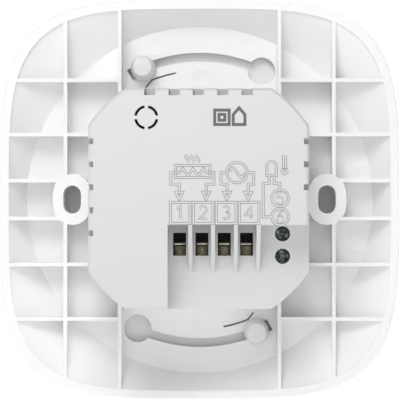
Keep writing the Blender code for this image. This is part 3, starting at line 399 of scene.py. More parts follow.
def moulded(name, colour, roughness=0.42, grain=0.010, variation=0.025):
    """Injection-moulded plastic: fine spark-eroded grain, faint flow clouds and uneven gloss."""
    paint = Paint(name, {})
    grit = paint.noise(2600.0, 3.0, 0.6)
    cloud = paint.noise(38.0, 3.0, 0.55)
    darker = tuple(c * (1 - 3 * variation) for c in colour)
    lighter = tuple(min(1.0, c * (1 + variation)) for c in colour)
    shade = paint.blend(cloud, darker, lighter)
    rough = roughness - 0.05 + grit * 0.06 + cloud * 0.06
    bump = paint.bump(grit, grain * MM)
    return paint.set(Base_Color=shade, Roughness=rough, Normal=bump)


def housing_plastic(name, plate, box, roughness=0.42):
    """The housing's white plastic: the bright plate, and the box behind it painted clearly greyer as painted
    shade, with a fine spark-eroded grain, flow clouds and uneven gloss."""
    paint = Paint(name, {})
    x, y, z = paint.axes()
    grit = paint.noise(2600.0, 3.0, 0.6)
    cloud = paint.noise(38.0, 3.0, 0.55)
    # painted shade: everything behind the plate, the rear box and its legends, gets the greyer colour, which
    # stands in for the same white plastic being less lit there
    behind = y > 0.35 * MM
    shade = paint.blend(behind, plate, box)
    shade = paint.blend(cloud * 0.06, shade, (0.6, 0.6, 0.61))
    rough = roughness - 0.05 + grit * 0.06 + cloud * 0.06
    return paint.set(Base_Color=shade, Roughness=rough, Normal=paint.bump(grit, 0.01 * MM))


def metal(name, colour, tarnish, roughness=0.3, lines=(1.0, 60.0, 1.0), grain=0.006, metallic=1.0):
    """Machined metal: lathe or drawing lines across one axis, with patches of a second colour, which is
    darker tarnish on most metals and lighter painted glints on the sensor steel.
    """
    paint = Paint(name, {"Metallic": metallic})
    drawn = paint.noise(420.0, 3.0, 0.6, vector=paint.stretched(lines))
    patch = paint.noise(700.0, 4.0, 0.6)
    # patches of the second colour: darker real tarnish on most metals, lighter painted glints on the sensor
    # steel
    tarnish_and_glint = ((patch - 0.45) * 4.0).most(0.0).least(1.0)
    shade = paint.blend(tarnish_and_glint * 0.7, colour, tarnish)
    rough = roughness + drawn * 0.15 + tarnish_and_glint * 0.18
    return paint.set(Base_Color=shade, Roughness=rough, Normal=paint.bump(drawn, grain * MM))


def circuit_board(name, colour):
    """Solder mask over copper: straight tracks, round pads and a slight weave of the glass cloth."""
    paint = Paint(name, {"Coat Weight": 0.3, "Coat Roughness": 0.25})
    x, y, z = paint.axes()
    cell = paint.cells(260.0, vector=paint.stretched((1.0, 0.0, 1.0)), output="Distance")
    pads = cell < 0.11
    lane = (paint.noise(55.0, 0.0, vector=paint.stretched((1.0, 0.0, 1.0))) * 34.0).sine()
    tracks = (abs(lane) < 0.32) * (1.0 - pads)
    weave = ((x * 9000.0).sine() * (z * 9000.0).sine()) * 0.5 + 0.5
    mask = paint.blend(weave * 0.3, colour, tuple(c * 0.7 for c in colour))
    copper = paint.blend(tracks * 0.55, mask, tuple(min(1.0, c * 2.6 + 0.02) for c in colour))
    shade = paint.blend(pads, copper, (0.62, 0.62, 0.6))
    height = tracks * 0.6 + pads + weave * 0.1
    return paint.set(
        Base_Color=shade,
        Metallic=pads * 0.9,
        Roughness=0.42 - pads * 0.12 + weave * 0.05,
        Normal=paint.bump(height, 0.03 * MM),
    )


def film(name, colour, band, pitch):
    """Wound tape or a dipped body: overlapping layers along Z with soft edges and small scuffs."""
    paint = Paint(name, {"Coat Weight": 0.25, "Coat Roughness": 0.2})
    x, y, z = paint.axes()
    layer = ((z + y * 0.06) / pitch) % 1.0
    edge = layer > 0.93
    scuff = paint.noise(900.0, 4.0, 0.65)
    shade = paint.blend(edge * 0.7 + scuff * 0.12, colour, band)
    height = layer * 0.5 + scuff * 0.15
    return paint.set(Base_Color=shade, Roughness=0.28 + scuff * 0.2, Normal=paint.bump(height, 0.05 * MM))


def ferrite_material():
    """Fired ferrite: dark grains, ground faces and small chips of lighter grey."""
    paint = Paint("ferrite", {})
    grains = paint.cells(2400.0, output="Color")
    chips = paint.noise(500.0, 4.0, 0.7) > 0.66
    dark = paint.blend(grains, (0.035, 0.035, 0.04), (0.085, 0.085, 0.09))
    shade = paint.blend(chips * 0.6, dark, (0.2, 0.2, 0.21))
    return paint.set(Base_Color=shade, Roughness=0.62 + chips * 0.15, Normal=paint.bump(grains, 0.02 * MM))


def sleeve_material():
    """Shrunk sleeve of a capacitor can: dark film, a pale stripe down one side, slight orange peel."""
    paint = Paint("sleeve", {"Coat Weight": 0.3})
    x, y, z = paint.axes()
    centre = middle("filter_capacitor")
    across = z - centre.z
    stripe = (abs(across) < 0.9 * MM) * (x > centre.x)
    dashes = ((y * 500.0) % 1.0) < 0.55
    peel = paint.noise(1500.0, 2.0)
    shade = paint.blend(stripe * dashes, (0.02, 0.022, 0.05), (0.6, 0.62, 0.66))
    return paint.set(Base_Color=shade, Roughness=0.3 + peel * 0.1, Normal=paint.bump(peel, 0.02 * MM))


def glass_material():
    """Black back-printed cover glass: deep gloss, very slight waviness, dust and fine wipe marks."""
    paint = Paint("front_glass", {"Specular IOR Level": 0.6, "Coat Weight": 0.6, "Coat Roughness": 0.03})
    wave = paint.noise(60.0, 2.0)
    wipe = paint.noise(300.0, 4.0, 0.6, vector=paint.stretched((1.0, 1.0, 0.12), turn=(0.0, 0.5, 0.0)))
    dust = (paint.noise(4200.0, 2.0) > 0.72) * 1.0
    shade = paint.blend(dust * 0.06, (0.006, 0.0065, 0.008), (0.5, 0.5, 0.5))
    rough = 0.05 + wipe * 0.05 + dust * 0.25
    return paint.set(Base_Color=shade, Roughness=rough, Normal=paint.bump(wave, 0.01 * MM))


def lit_material(name, colour, strength):
    """Lit segments of the display: even glow with a faint fall-off between the light sources."""
    paint = Paint(name, {"Emission Strength": strength, "Roughness": 0.3})
    glow = paint.noise(120.0, 1.0)
    shade = paint.blend(glow * 0.5, colour, tuple(c * 0.75 for c in colour))
    return paint.set(Base_Color=shade, Emission_Color=shade)


def screen_material():
    """Switched-off display panel: dark polariser with the fine grid of its cells."""
    paint = Paint("screen", {"Coat Weight": 0.5, "Coat Roughness": 0.05})
    x, y, z = paint.axes()
    grid = ((x * 4000.0) % 1.0 > 0.9).most((z * 4000.0) % 1.0 > 0.9)
    return paint.set(
        Base_Color=paint.blend(grid * 0.6, (0.02, 0.024, 0.03), (0.05, 0.055, 0.06)),
        Roughness=0.18 + grid * 0.1,
    )


STAGE_GLOW = 1.0


def stage_material():
    """Matt pale paper of the studio stage, with a hint of fibre. It glows a little more where it rises
    behind the object, as a backdrop with its own lights does."""
    paint = Paint("stage_paper", {"Emission Strength": STAGE_GLOW, "Specular IOR Level": 0.1})
    x, y, z = paint.axes()
    far = ((-1.0 * y - 0.2) / 0.5).most(0.0).least(1.0)
    fibre = paint.noise(900.0, 4.0, 0.7)
    shade = paint.blend(fibre, (0.66, 0.66, 0.665), (0.72, 0.72, 0.72))
    glow = paint.blend(far, (0.58, 0.58, 0.58), (1.0, 1.0, 1.0))
    return paint.set(Base_Color=shade, Emission_Color=glow, Roughness=0.9 + fibre * 0.05)


WHITE = (0.80, 0.80, 0.805)
finishes = {}


def make_finishes():
    finishes.update(
        white_plastic=moulded("white_plastic", WHITE),
        # one white plastic for the housing, its rear box in a painted-shade grey
        housing_white=housing_plastic("housing_white", (0.89, 0.89, 0.885), (0.655, 0.655, 0.655)),
        # painted shade: a dark grey for the walls of the raised legends, standing in for the shade along
        # their edges; the legends themselves are the housing's white
        legend_edge=moulded("legend_edge", (0.26, 0.26, 0.27), 0.5, variation=0.01),
        printed_mark=moulded("printed_mark", (0.12, 0.12, 0.125), 0.5, variation=0.02),
        grey_plastic=moulded("grey_plastic", (0.58, 0.58, 0.59)),
        black_plastic=moulded("black_plastic", (0.018, 0.018, 0.019), 0.45, 0.012),
        green_plastic=moulded("green_plastic", (0.012, 0.075, 0.042), 0.4),
        blue_plastic=moulded("blue_plastic", (0.04, 0.12, 0.35), 0.35),
        circuit_board=circuit_board("circuit_board", (0.02, 0.13, 0.055)),
        brass=metal("brass", (0.93, 0.89, 0.73), (0.6, 0.54, 0.38), 0.34, (1.0, 1.0, 14.0), metallic=0.45),
        # painted shade and reflection: a near-black green stands in for the shade deep in the screw holes and
        # the green sensor block reflected in the screws; its lighter patches are painted glints
        sensor_steel=metal(
            "sensor_steel", (0.045, 0.062, 0.055), (0.40, 0.46, 0.43), 0.25, (14.0, 1.0, 14.0)
        ),
        steel=metal("steel", (0.66, 0.66, 0.65), (0.36, 0.35, 0.33), 0.25, (14.0, 1.0, 14.0)),
        gold_plate=metal("gold_plate", (0.85, 0.64, 0.28), (0.6, 0.42, 0.18), 0.2, (1.0, 14.0, 1.0)),
        ferrite=ferrite_material(),
        yellow_tape=film("yellow_tape", (0.72, 0.55, 0.08), (0.5, 0.34, 0.04), 1.9 * MM),
        sleeve=sleeve_material(),
        front_glass=glass_material(),
        screen=screen_material(),
        diffuser=moulded("diffuser", (0.78, 0.78, 0.76), 0.55),
        lit_white=lit_material("lit_white", (0.85, 0.93, 1.0), 3.0),
        lit_amber=lit_material("lit_amber", (1.0, 0.42, 0.08), 3.0),
    )


def finish_piece(made, body, slot, *nodes, material=None):
    """Gives a piece the material of its slot, unless another material is named, puts it on its body, and
    hides the CAD nodes that it stands for.
    """
    made.data.materials.clear()
    made.data.materials.append(finishes[material or slot])
    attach(made, body)
    if nodes:
        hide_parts(*nodes)
    return made


def soft_copy(node, body, slot, width=0.12, segments=2):
    """A CAD node with its edges rounded, which stands for that node."""
    made = softened(node + "_moulded", node, width * MM, segments)
    return finish_piece(made, body, slot, node)


# ---------------------------------------------------------------- lines for legends


def arc(centre, radius, start, end, steps):
    angle = np.radians(np.linspace(start, end, steps + 1))
    return np.stack([centre[0] + radius * np.cos(angle), centre[1] + radius * np.sin(angle)], -1)


NUMERALS = {
    1: [[(-0.28, 0.28), (0.02, 0.5), (0.02, -0.5)]],
    2: [[*arc((0.0, 0.22), 0.28, 170, -30, 8), (-0.3, -0.48), (0.32, -0.48)]],
    3: [[*arc((-0.02, 0.25), 0.25, 150, -80, 8)], [*arc((-0.02, -0.23), 0.27, 80, -150, 9)]],
    4: [[(0.14, -0.5), (0.14, 0.5), (-0.32, -0.2), (0.34, -0.2)]],
    5: [[(0.26, 0.5), (-0.2, 0.5), (-0.24, 0.02), *arc((-0.02, -0.19), 0.3, 100, -140, 10)]],
    6: [[(0.18, 0.52), (-0.12, 0.2), *arc((0.0, -0.2), 0.3, 160, -180, 16)]],
}


def on_face(path):
    """Points drawn as seen from the rear, in millimetres to the right and up, as (x, z) in metres."""
    points = np.array(path, float) * MM
    points[:, 0] *= -1
    return points


def numeral(digit, centre, size):
    """A numeral's strokes at a size in millimetres, each as an open path."""
    return [(np.array(stroke, float) * size + np.array(centre), False) for stroke in NUMERALS[digit]]


NUMERAL_SHARE = 0.78  # width of the numerals 1 to 4, as a share of the other lines
SMALL_NUMERAL_SHARE = 0.5
EDGE_SLOPE = 0.16  # how far a raised line's walls lean in, in millimetres

# The legend is drawn in units of 0.2217 mm, to the right and down as seen from the rear. The middle of
# the plate is at 198.5, 198.5.
LEGEND_UNIT = 0.2217
LEGEND_MIDDLE = 198.5
LEAD_ENDS = (179.2, 206.2, 227.0, 248.2)
NUMERAL_HEIGHT = 2.8
SMALL_NUMERAL_HEIGHT = 2.6


def mm(*pairs):
    """Legend units as millimetres to the right and up from the middle."""
    return [((u - LEGEND_MIDDLE) * LEGEND_UNIT, (LEGEND_MIDDLE - v) * LEGEND_UNIT) for u, v in pairs]


def legend_lines():
    """Paths of the full lines, of the numerals 1 to 4 and of the numerals 5 and 6, each with whether
    it is closed."""
    lines, thin, thinner = [], [], []
    for i in range(4):
        x0, x1 = 170.3 + 23.0 * i, 190.0 + 23.0 * i
        lines.append((mm((x0, 202.3), (x1, 202.3), (x1, 223.6), (x0, 223.6)), True))
        centre = mm(((x0 + x1) / 2, 212.6))[0]
        thin += numeral(i + 1, centre, NUMERAL_HEIGHT)
        tip = mm((LEAD_ENDS[i], 199.0))[0]
        lines.append(([(tip[0] - 0.75, tip[1] + 1.5), (tip[0] + 0.75, tip[1] + 1.5), tip], True))
    lines.append((mm((175.3, 165.5), (209.8, 165.5), (209.8, 177.6), (175.3, 177.6)), True))
    zigzag = [(170.8, 184.2), (170.8, 172.6), (179.0, 172.6), (182.6, 168.8), (188.0, 175.6), (193.0, 168.8)]
    zigzag += [(198.2, 175.6), (203.4, 168.8), (206.6, 172.6), (214.0, 172.6), (214.0, 184.2)]
    lines.append((mm((179.2, 191.0), (179.2, 184.2), *zigzag, (206.2, 184.2), (206.2, 191.0)), False))
    centre = mm((237.0, 172.6))[0]
    ring = arc(centre, 10.2 * LEGEND_UNIT, 0, 360, 40)[:-1]
    lines.append((ring, True))
    wave = [
        (centre[0] + (t - 0.5) * 17 * LEGEND_UNIT, centre[1] + 4.4 * LEGEND_UNIT * math.sin(math.tau * t))
        for t in np.linspace(0, 1, 17)
    ]
    lines.append((wave, False))
    lines.append((mm((226.6, 172.6), (221.0, 172.6), (221.0, 184.2), (227.0, 184.2), (227.0, 191.0)), False))
    lines.append((mm((247.4, 172.6), (253.6, 172.6), (253.6, 184.2), (248.2, 184.2), (248.2, 191.0)), False))
    left, right, shoulder, foot = 266.9, 276.4, 166.2, 175.4
    dome = [(271.6 + 4.75 * math.cos(a), shoulder - 4.75 * math.sin(a)) for a in np.linspace(math.pi, 0, 13)]
    lines.append((mm((left, foot), *dome, (right, foot)), True))
    lines.append((mm((269.2, 175.6), (269.2, 183.6), (263.2, 183.6), (263.2, 217.0), (271.4, 217.0)), False))
    lines.append((mm((274.2, 175.6), (274.2, 183.6), (279.8, 183.6), (279.8, 189.6)), False))
    for digit, v in ((5, 198.3), (6, 217.0)):
        centre = mm((280.1, v))[0]
        lines.append((arc(centre, 8.3 * LEGEND_UNIT, 0, 360, 32)[:-1], True))
        thinner += numeral(digit, centre, SMALL_NUMERAL_HEIGHT)
    for u in (187.0, 192.4, 197.8):
        heat = [(u + 1.1 * math.sin(math.tau * t), 162.0 - 7.0 * t) for t in np.linspace(0, 1, 9)]
        lines.append((mm(*heat), False))
    lines.append((mm((283.4, 157.0), (285.6, 157.0), (285.6, 168.0), (283.4, 168.0)), True))
    lines.append((arc(mm((284.5, 171.2))[0], 2.6 * LEGEND_UNIT, 0, 360, 16)[:-1], True))
    return lines, thin, thinner


SQUARE = ((-1, 1), (1, 1), (1, -1), (-1, -1))
HOUSE = ((-1.3, -1.6), (-1.3, 0.6), (0.0, 2.1), (1.3, 0.6), (1.3, -1.6))


def mark_lines():
    """Two plain symbols: a square in a square, and an outline of a house."""
    lines = [([(5.2 + x * half, 18.0 + y * half) for x, y in SQUARE], True) for half in (1.6, 0.65)]
    lines.append(([(9.0 + x, 18.0 + y) for x, y in HOUSE], True))
    return lines


# ---------------------------------------------------------------- settings


class HousingSettings(bpy.types.PropertyGroup):
    legend_height: bpy.props.FloatProperty(
        name="Legend height", description="How far the legends stand out", default=0.16 * MM, unit="LENGTH"
    )
    legend_width: bpy.props.FloatProperty(
        name="Legend width", description="Width of the raised lines", default=0.64 * MM, unit="LENGTH"
    )
    mark_width: bpy.props.FloatProperty(
        name="Mark width",
        description="Width of the printed symbols' lines",
        default=0.68 * MM,
        unit="LENGTH",
    )
    ejector_radius: bpy.props.FloatProperty(
        name="Ejector mark radius",
        description="Radius of the ejector marks",
        default=2.3 * MM,
        unit="LENGTH",
    )


class ScrewSettings(bpy.types.PropertyGroup):
    clamp_pitch: bpy.props.FloatProperty(
        name="Clamp screw pitch",
        description="Thread pitch of the mains clamp screws",
        default=0.5 * MM,
        unit="LENGTH",
    )
    thread_depth: bpy.props.FloatProperty(
        name="Thread depth",
        description="Depth of the clamp screw threads",
        default=0.24 * MM,
        unit="LENGTH",
    )
    sensor_pitch: bpy.props.FloatProperty(
        name="Sensor screw pitch",
        description="Thread pitch of the sensor screws",
        default=0.45 * MM,
        unit="LENGTH",
    )


class FrontSettings(bpy.types.PropertyGroup):
    digit_height: bpy.props.FloatProperty(
        name="Digit height",
        description="Height of the large display digits",
        default=11.0 * MM,
        unit="LENGTH",
    )
    coil_turns: bpy.props.FloatProperty(
        name="Coil turns", description="Turns of each touch spring", default=3.5
    )


class StageSettings(bpy.types.PropertyGroup):
    distance: bpy.props.FloatProperty(
        name="Camera distance",
        description="Camera distance from the wall plane",
        default=0.4355,
        unit="LENGTH",
    )
    field: bpy.props.FloatProperty(
        name="Field width",
        description="Width of the picture at the wall plane",
        default=0.09408,
        unit="LENGTH",
    )
    key_power: bpy.props.FloatProperty(
        name="Key light", description="Power of the overhead softbox", default=0.75, unit="POWER"
    )
    near_power: bpy.props.FloatProperty(
        name="Near light",
        description="Power of the near softbox over the camera",
        default=0.5,
        unit="POWER",
    )
    fill_power: bpy.props.FloatProperty(
        name="Fill light", description="Power of the softbox beside the camera", default=1.25, unit="POWER"
    )
    world_strength: bpy.props.FloatProperty(
        name="Surrounding light", description="Strength of the even light all round", default=0.17
    )


# ---------------------------------------------------------------- housing pieces


class THERMOSTAT_OT_finishes(bpy.types.Operator):
    """Makes every material and gives the CAD nodes theirs"""

    bl_idname = "thermostat.finishes"
    bl_label = "Finishes"

    def execute(self, context):
        make_finishes()
        slots = {row["node"]: row["material_slot"] for row in frame["record"]["subparts"]}
        for name, node in NODES.items():
            node.data.materials.clear()
            node.data.materials.append(finishes[slots[name]])
        return {"FINISHED"}


class THERMOSTAT_OT_housing(bpy.types.Operator):
    """Rear housing, smooth over its curves and with sharp edges"""

    bl_idname = "thermostat.housing"
    bl_label = "Rear housing"

    def execute(self, context):
        made = merged_copy("housing_shell", "rear_housing")
        finish_piece(made, "wall_base", "white_plastic", "rear_housing", material="housing_white")
        return {"FINISHED"}


class THERMOSTAT_OT_legends(bpy.types.Operator):
    """Raised wiring legends and printed symbols on the box's rear face"""

    bl_idname = "thermostat.legends"
    bl_label = "Legends"

    def execute(self, context):
        settings = context.scene.thermostat_housing
        face = HOUSING_REAR
        ribbons = []
        for lines, share in zip(legend_lines(), (1.0, NUMERAL_SHARE, SMALL_NUMERAL_SHARE)):
            width, slope = settings.legend_width * share, EDGE_SLOPE * share
            for path, closed in lines:
                ribbons.append(ribbon(on_face(path), width, settings.legend_height, face, closed, slope))
        made = new_piece("raised_legends", *joined(ribbons), smooth=0)
        finish_piece(made, "wall_base", "white_plastic", material="housing_white")
        # the steep walls of the raised lines get the dark grey of painted shade, their tops keep the
        # housing's white
        made.data.materials.append(finishes["legend_edge"])
        steep = np.zeros(len(made.data.polygons) * 3)
        made.data.polygons.foreach_get("normal", steep)
        walls = (np.abs(steep.reshape(-1, 3)[:, 1]) < 0.97).astype(np.int32)
        made.data.polygons.foreach_set("material_index", walls)
        marks = [
            ribbon(on_face(path), settings.mark_width, 0.03 * MM, HOUSING_REAR - 0.01 * MM, closed, 0.01)
            for path, closed in mark_lines()
        ]
        made = new_piece("printed_marks", *joined(marks), smooth=0)
        finish_piece(made, "wall_base", "white_plastic", material="printed_mark")
        return {"FINISHED"}


EJECTOR_PLACES = [
    (-10.8, 36.6), (11.8, 36.8), (0.3, 29.2), (0.3, -29.2), (11.8, -36.7), (-11.2, -36.7),
    (-37.3, 10.2), (-37.3, -10.2), (37.7, 9.8), (37.9, -10.2),
]


class THERMOSTAT_OT_ejector_marks(bpy.types.Operator):
    """Shallow round ejector marks on the plate's floor"""

    bl_idname = "thermostat.ejector_marks"
    bl_label = "Ejector marks"

    def execute(self, context):
        radius = context.scene.thermostat_housing.ejector_radius
        discs = []
        for u, v in EJECTOR_PLACES:
            profile = [(0.0, FLOOR_Y - 0.05 * MM), (radius, FLOOR_Y - 0.05 * MM)]
            profile += [(radius, FLOOR_Y + 0.06 * MM), (radius - 0.12 * MM, FLOOR_Y + 0.10 * MM)]
            profile += [(radius - 0.3 * MM, FLOOR_Y + 0.05 * MM), (0.0, FLOOR_Y + 0.04 * MM)]
            discs.append(revolved(off_axis(profile), (-u * MM, v * MM), 48))
        made = new_piece("ejector_marks", *joined(discs))
        finish_piece(made, "wall_base", "white_plastic", material="housing_white")
        return {"FINISHED"}


# ---------------------------------------------------------------- screws


def thread_surface(length, radius, depth, pitch, taper=0.5, steps=28, per_turn=10, runout=0.6):
    """A threaded rod along its own Y: radius less depth times a rounded V of the helix phase, which
    is the height over the pitch plus the angle. Its crest fades near both ends."""
    rows = int(length / pitch * per_turn)
    height = np.linspace(0.0, length, rows)[:, None]
    angle = (np.arange(steps) * math.tau / steps)[None, :]
    phase = (height / pitch - angle / math.tau) % 1.0
    groove = np.clip(1.5 - np.abs(phase - 0.5) * 5.0, 0.0, 1.0)
    fade = np.clip((length - height) / (runout * pitch), 0.0, 1.0)
    tip = taper * depth * np.clip(1.0 - height / pitch, 0.0, 1.0)
    reach = radius - depth * groove * fade - tip
    return np.stack([reach * np.cos(angle), np.broadcast_to(height, reach.shape), reach * np.sin(angle)], -1)


def segment_outline(radius, half_slot, steps=16):
    """Half of a round head beside a straight slot."""
    first = math.degrees(math.asin(half_slot / radius))
    return arc((0.0, 0.0), radius, first, 180 - first, steps)


def quarter_outline(radius, half_slot, steps=8):
    """A quarter of a round head beside a cross slot."""
    first = math.degrees(math.asin(half_slot / radius))
    rim = arc((0.0, 0.0), radius, first, 90 - first, steps)
    return np.concatenate([[(half_slot, half_slot)], rim])


def raised_block(outline, start, end, chamfer):
    """An outline extruded along Y, drawn in a little at its outer end."""
    centre = outline.mean(0)
    shrink = np.linalg.norm(outline - centre, axis=1).mean()
    drawn = centre + (outline - centre) * (1 - chamfer / shrink)
    sign = 1.0 if end > start else -1.0
    rings = []
    for points, y in ((outline, start), (outline, end - sign * chamfer), (drawn, end)):
        rings.append(np.stack([points[:, 0], np.full(len(points), y), points[:, 1]], -1))
    return outward(*skin(np.stack(rings)))


def turned_about(points, turns):
    """Points turned about Y by a share of a turn."""
    angle = turns * math.tau
    result = points.copy()
    result[..., 0] = points[..., 0] * math.cos(angle) + points[..., 2] * math.sin(angle)
    result[..., 2] = -points[..., 0] * math.sin(angle) + points[..., 2] * math.cos(angle)
    return result


def screw_pieces(length, radius, depth, pitch, head_radius, head_height, slots, slot=0.28):
    """A threaded rod from its tip at Y = 0, a head's base disc, and the raised blocks beside its slot."""
    parts = [outward(*skin(thread_surface(length, radius, depth * MM, pitch)))]
    foot = length + head_height * 0.45
    under = length - 0.02 * MM
    disc = rounded([(0.0, under), (head_radius, under), (head_radius, foot), (0.0, foot)], 0.1 * MM, 3)
    parts.append(revolved(off_axis(disc), steps=36))
    outline_of, turns = {
        1: (segment_outline, (0.0, 0.5)),
        2: (quarter_outline, (0.0, 0.25, 0.5, 0.75)),
    }[slots]
    outline = outline_of(head_radius - 0.002 * MM, slot * MM)
    for turn in turns:
        points, faces = raised_block(outline, foot - 0.05 * MM, length + head_height, 0.12 * MM)
        parts.append((turned_about(points, turn), faces))
    return joined(parts)


def placed(points, axis, tip, turn=0.0):
    """A screw drawn along its own Y, turned about itself and stood on an axis with its tip in place."""
    points = turned_about(points, turn)
    x, y, z = points[:, 0], points[:, 1], points[:, 2]
    columns = {"-Z": (x, z, -y), "+Y": (x, y, z), "-Y": (x, -y, -z)}[axis]
    return np.stack(columns, -1) + np.array(tip)


class THERMOSTAT_OT_clamp_screws(bpy.types.Operator):
    """Threaded brass screws and ribbed pressure plates of the mains clamps"""

    bl_idname = "thermostat.clamp_screws"
    bl_label = "Mains clamps"

    def execute(self, context):
        settings = context.scene.thermostat_screws
        for i, node in enumerate(numbered("terminal_screw", 4)):
            lo, hi, centre = low(node), high(node), middle(node)
            head = 1.8 * MM
            length = hi.z - lo.z - head
            depth, pitch = settings.thread_depth / MM, settings.clamp_pitch
            points, faces = screw_pieces(length, 1.45 * MM, depth, pitch, 1.95 * MM, head, 1)
            points = placed(points, "-Z", (centre.x, centre.y, hi.z), 0.11 * i)
            finish_piece(new_piece(f"clamp_screw_{i + 1}", points, faces, 50), node, "brass", node)
        for i, node in enumerate(numbered("terminal_pad", 4)):
            lo, hi = low(node), high(node)
            made = new_piece(f"clamp_plate_{i + 1}", *ribbed_plate(lo, hi), 50)
            finish_piece(made, node, "brass", node)
            soft_copy(f"terminal_cage_{i + 1}", "wall_base", "brass", 0.15)
        return {"FINISHED"}


def ribbed_plate(lo, hi, ribs=9):
    """A flat plate whose upper face carries ribs across X: height is a raised cosine of the depth."""
    rows, columns = 8 * ribs + 1, 9
    y = np.linspace(lo.y, hi.y, rows)
    x = np.linspace(lo.x, hi.x, columns)
    grid_y, grid_x = np.meshgrid(y, x, indexing="ij")
    wave = 0.5 - 0.5 * np.cos(math.tau * ribs * (grid_y - lo.y) / (hi.y - lo.y))
    crown = 1 - 0.12 * ((grid_x - (lo.x + hi.x) / 2) / (hi.x - lo.x) * 2) ** 2
    top = np.stack([grid_x, grid_y, lo.z + (hi.z - lo.z) * (0.72 + 0.28 * wave) * crown], -1)
    bottom = np.stack([grid_x, grid_y, np.full(grid_x.shape, lo.z)], -1)
    loop = np.concatenate([top, bottom[:, ::-1]], 1)
    return outward(*skin(loop))


class THERMOSTAT_OT_sensor_screws(bpy.types.Operator):
    """Cross-slotted steel screws and plates of the sensor clamps"""

    bl_idname = "thermostat.sensor_screws"
    bl_label = "Sensor clamps"

    def execute(self, context):
        settings = context.scene.thermostat_screws
        for i, node in enumerate(numbered("sensor_screw", 2)):
            lo, hi, centre = low(node), high(node), middle(node)
            head = 1.2 * MM
            length = hi.y - lo.y - head
            pitch = settings.sensor_pitch
            points, faces = screw_pieces(length, 1.1 * MM, 0.2, pitch, 1.45 * MM, head, 2, 0.2)
            points = placed(points, "+Y", (centre.x, lo.y, centre.z), 0.06 + 0.09 * i)
            made = new_piece(f"sensor_clamp_screw_{i + 1}", points, faces, 50)
            # the sensor screws get steel painted dark green for shade and reflection, with painted glints
            finish_piece(made, node, "steel", node, material="sensor_steel")
            soft_copy(f"sensor_pad_{i + 1}", f"sensor_pad_{i + 1}", "steel", 0.08)
            soft_copy(f"sensor_cage_{i + 1}", "wall_base", "steel", 0.12)
        return {"FINISHED"}


class THERMOSTAT_OT_fixing_screws(bpy.types.Operator):
    """Cross-slotted screws that hold the inner cover and the front unit together"""

    bl_idname = "thermostat.fixing_screws"
    bl_label = "Fixing screws"

    def execute(self, context):
        head = 0.8 * MM
        for i, node in enumerate(numbered("inner_cover_screw", 3)):
            lo, hi, centre = low(node), high(node), middle(node)
            length = hi.y - lo.y - head
            points, faces = screw_pieces(length, 1.0 * MM, 0.22, 0.9 * MM, 1.8 * MM, head, 2, 0.22)
            points = placed(points, "-Y", (centre.x, hi.y, centre.z), 0.13 * i)
            finish_piece(new_piece(f"cover_screw_{i + 1}", points, faces, 50), "wall_base", "steel", node)
        for i, node in enumerate(numbered("front_screw", 3)):
            lo, hi, centre = low(node), high(node), middle(node)
            length = hi.y - lo.y - head
            points, faces = screw_pieces(length, 0.8 * MM, 0.18, 0.7 * MM, 1.7 * MM, head, 2, 0.2)
            points = placed(points, "+Y", (centre.x, lo.y, centre.z), 0.2 * i)
            finish_piece(new_piece(f"ring_screw_{i + 1}", points, faces, 50), "front_unit", "steel", node)
        return {"FINISHED"}


# ---------------------------------------------------------------- inside pieces


class THERMOSTAT_OT_inner_parts(bpy.types.Operator):
    """Cover, blocks, board and components inside the rear box, with rounded edges"""

    bl_idname = "thermostat.inner_parts"
    bl_label = "Parts in the rear box"

    def execute(self, context):
        soft_copy("inner_cover", "wall_base", "grey_plastic", 0.15)
        soft_copy("terminal_block", "wall_base", "black_plastic", 0.12)
        soft_copy("sensor_block", "wall_base", "green_plastic", 0.12)
        soft_copy("contact_block", "wall_base", "black_plastic", 0.1)
        soft_copy("relay", "wall_base", "blue_plastic", 0.4, 3)
        soft_copy("film_capacitor", "wall_base", "yellow_tape", 0.7, 4)
        soft_copy("transformer_core", "wall_base", "ferrite", 0.15)
        soft_copy("transformer_winding", "wall_base", "yellow_tape", 0.8, 4)
        soft_copy("fuse", "wall_base", "black_plastic", 0.5, 4)
        soft_copy("filter_capacitor", "wall_base", "sleeve", 0.3, 3)
        soft_copy("power_board", "wall_base", "circuit_board", 0.05)
        return {"FINISHED"}


class THERMOSTAT_OT_contacts(bpy.types.Operator):
    """Gold-plated spring contacts with domed tips"""

    bl_idname = "thermostat.contacts"
    bl_label = "Contacts"

    def execute(self, context):
        for i, node in enumerate(numbered("contact_pin", 4)):
            lo, hi, centre = low(node), high(node), middle(node)
            tip, body = 0.45 * MM, 0.65 * MM
            shoulder = lo.y + (hi.y - lo.y) * 0.55
            angles = np.linspace(0.01, math.pi / 2, 8)
            dome = [(tip * math.sin(a), lo.y + tip * (1 - math.cos(a))) for a in angles]
            stem = [(tip, lo.y + 0.6 * MM), (tip, shoulder), (body, shoulder)]
            stem += [(body, hi.y), (0.01 * MM, hi.y)]
            profile = dome + rounded(stem, 0.08 * MM, 3)
            made = new_piece(f"contact_{i + 1}", *revolved(profile, (centre.x, centre.z), 28))
            finish_piece(made, node, "gold_plate", node)
        return {"FINISHED"}


# ---------------------------------------------------------------- front unit


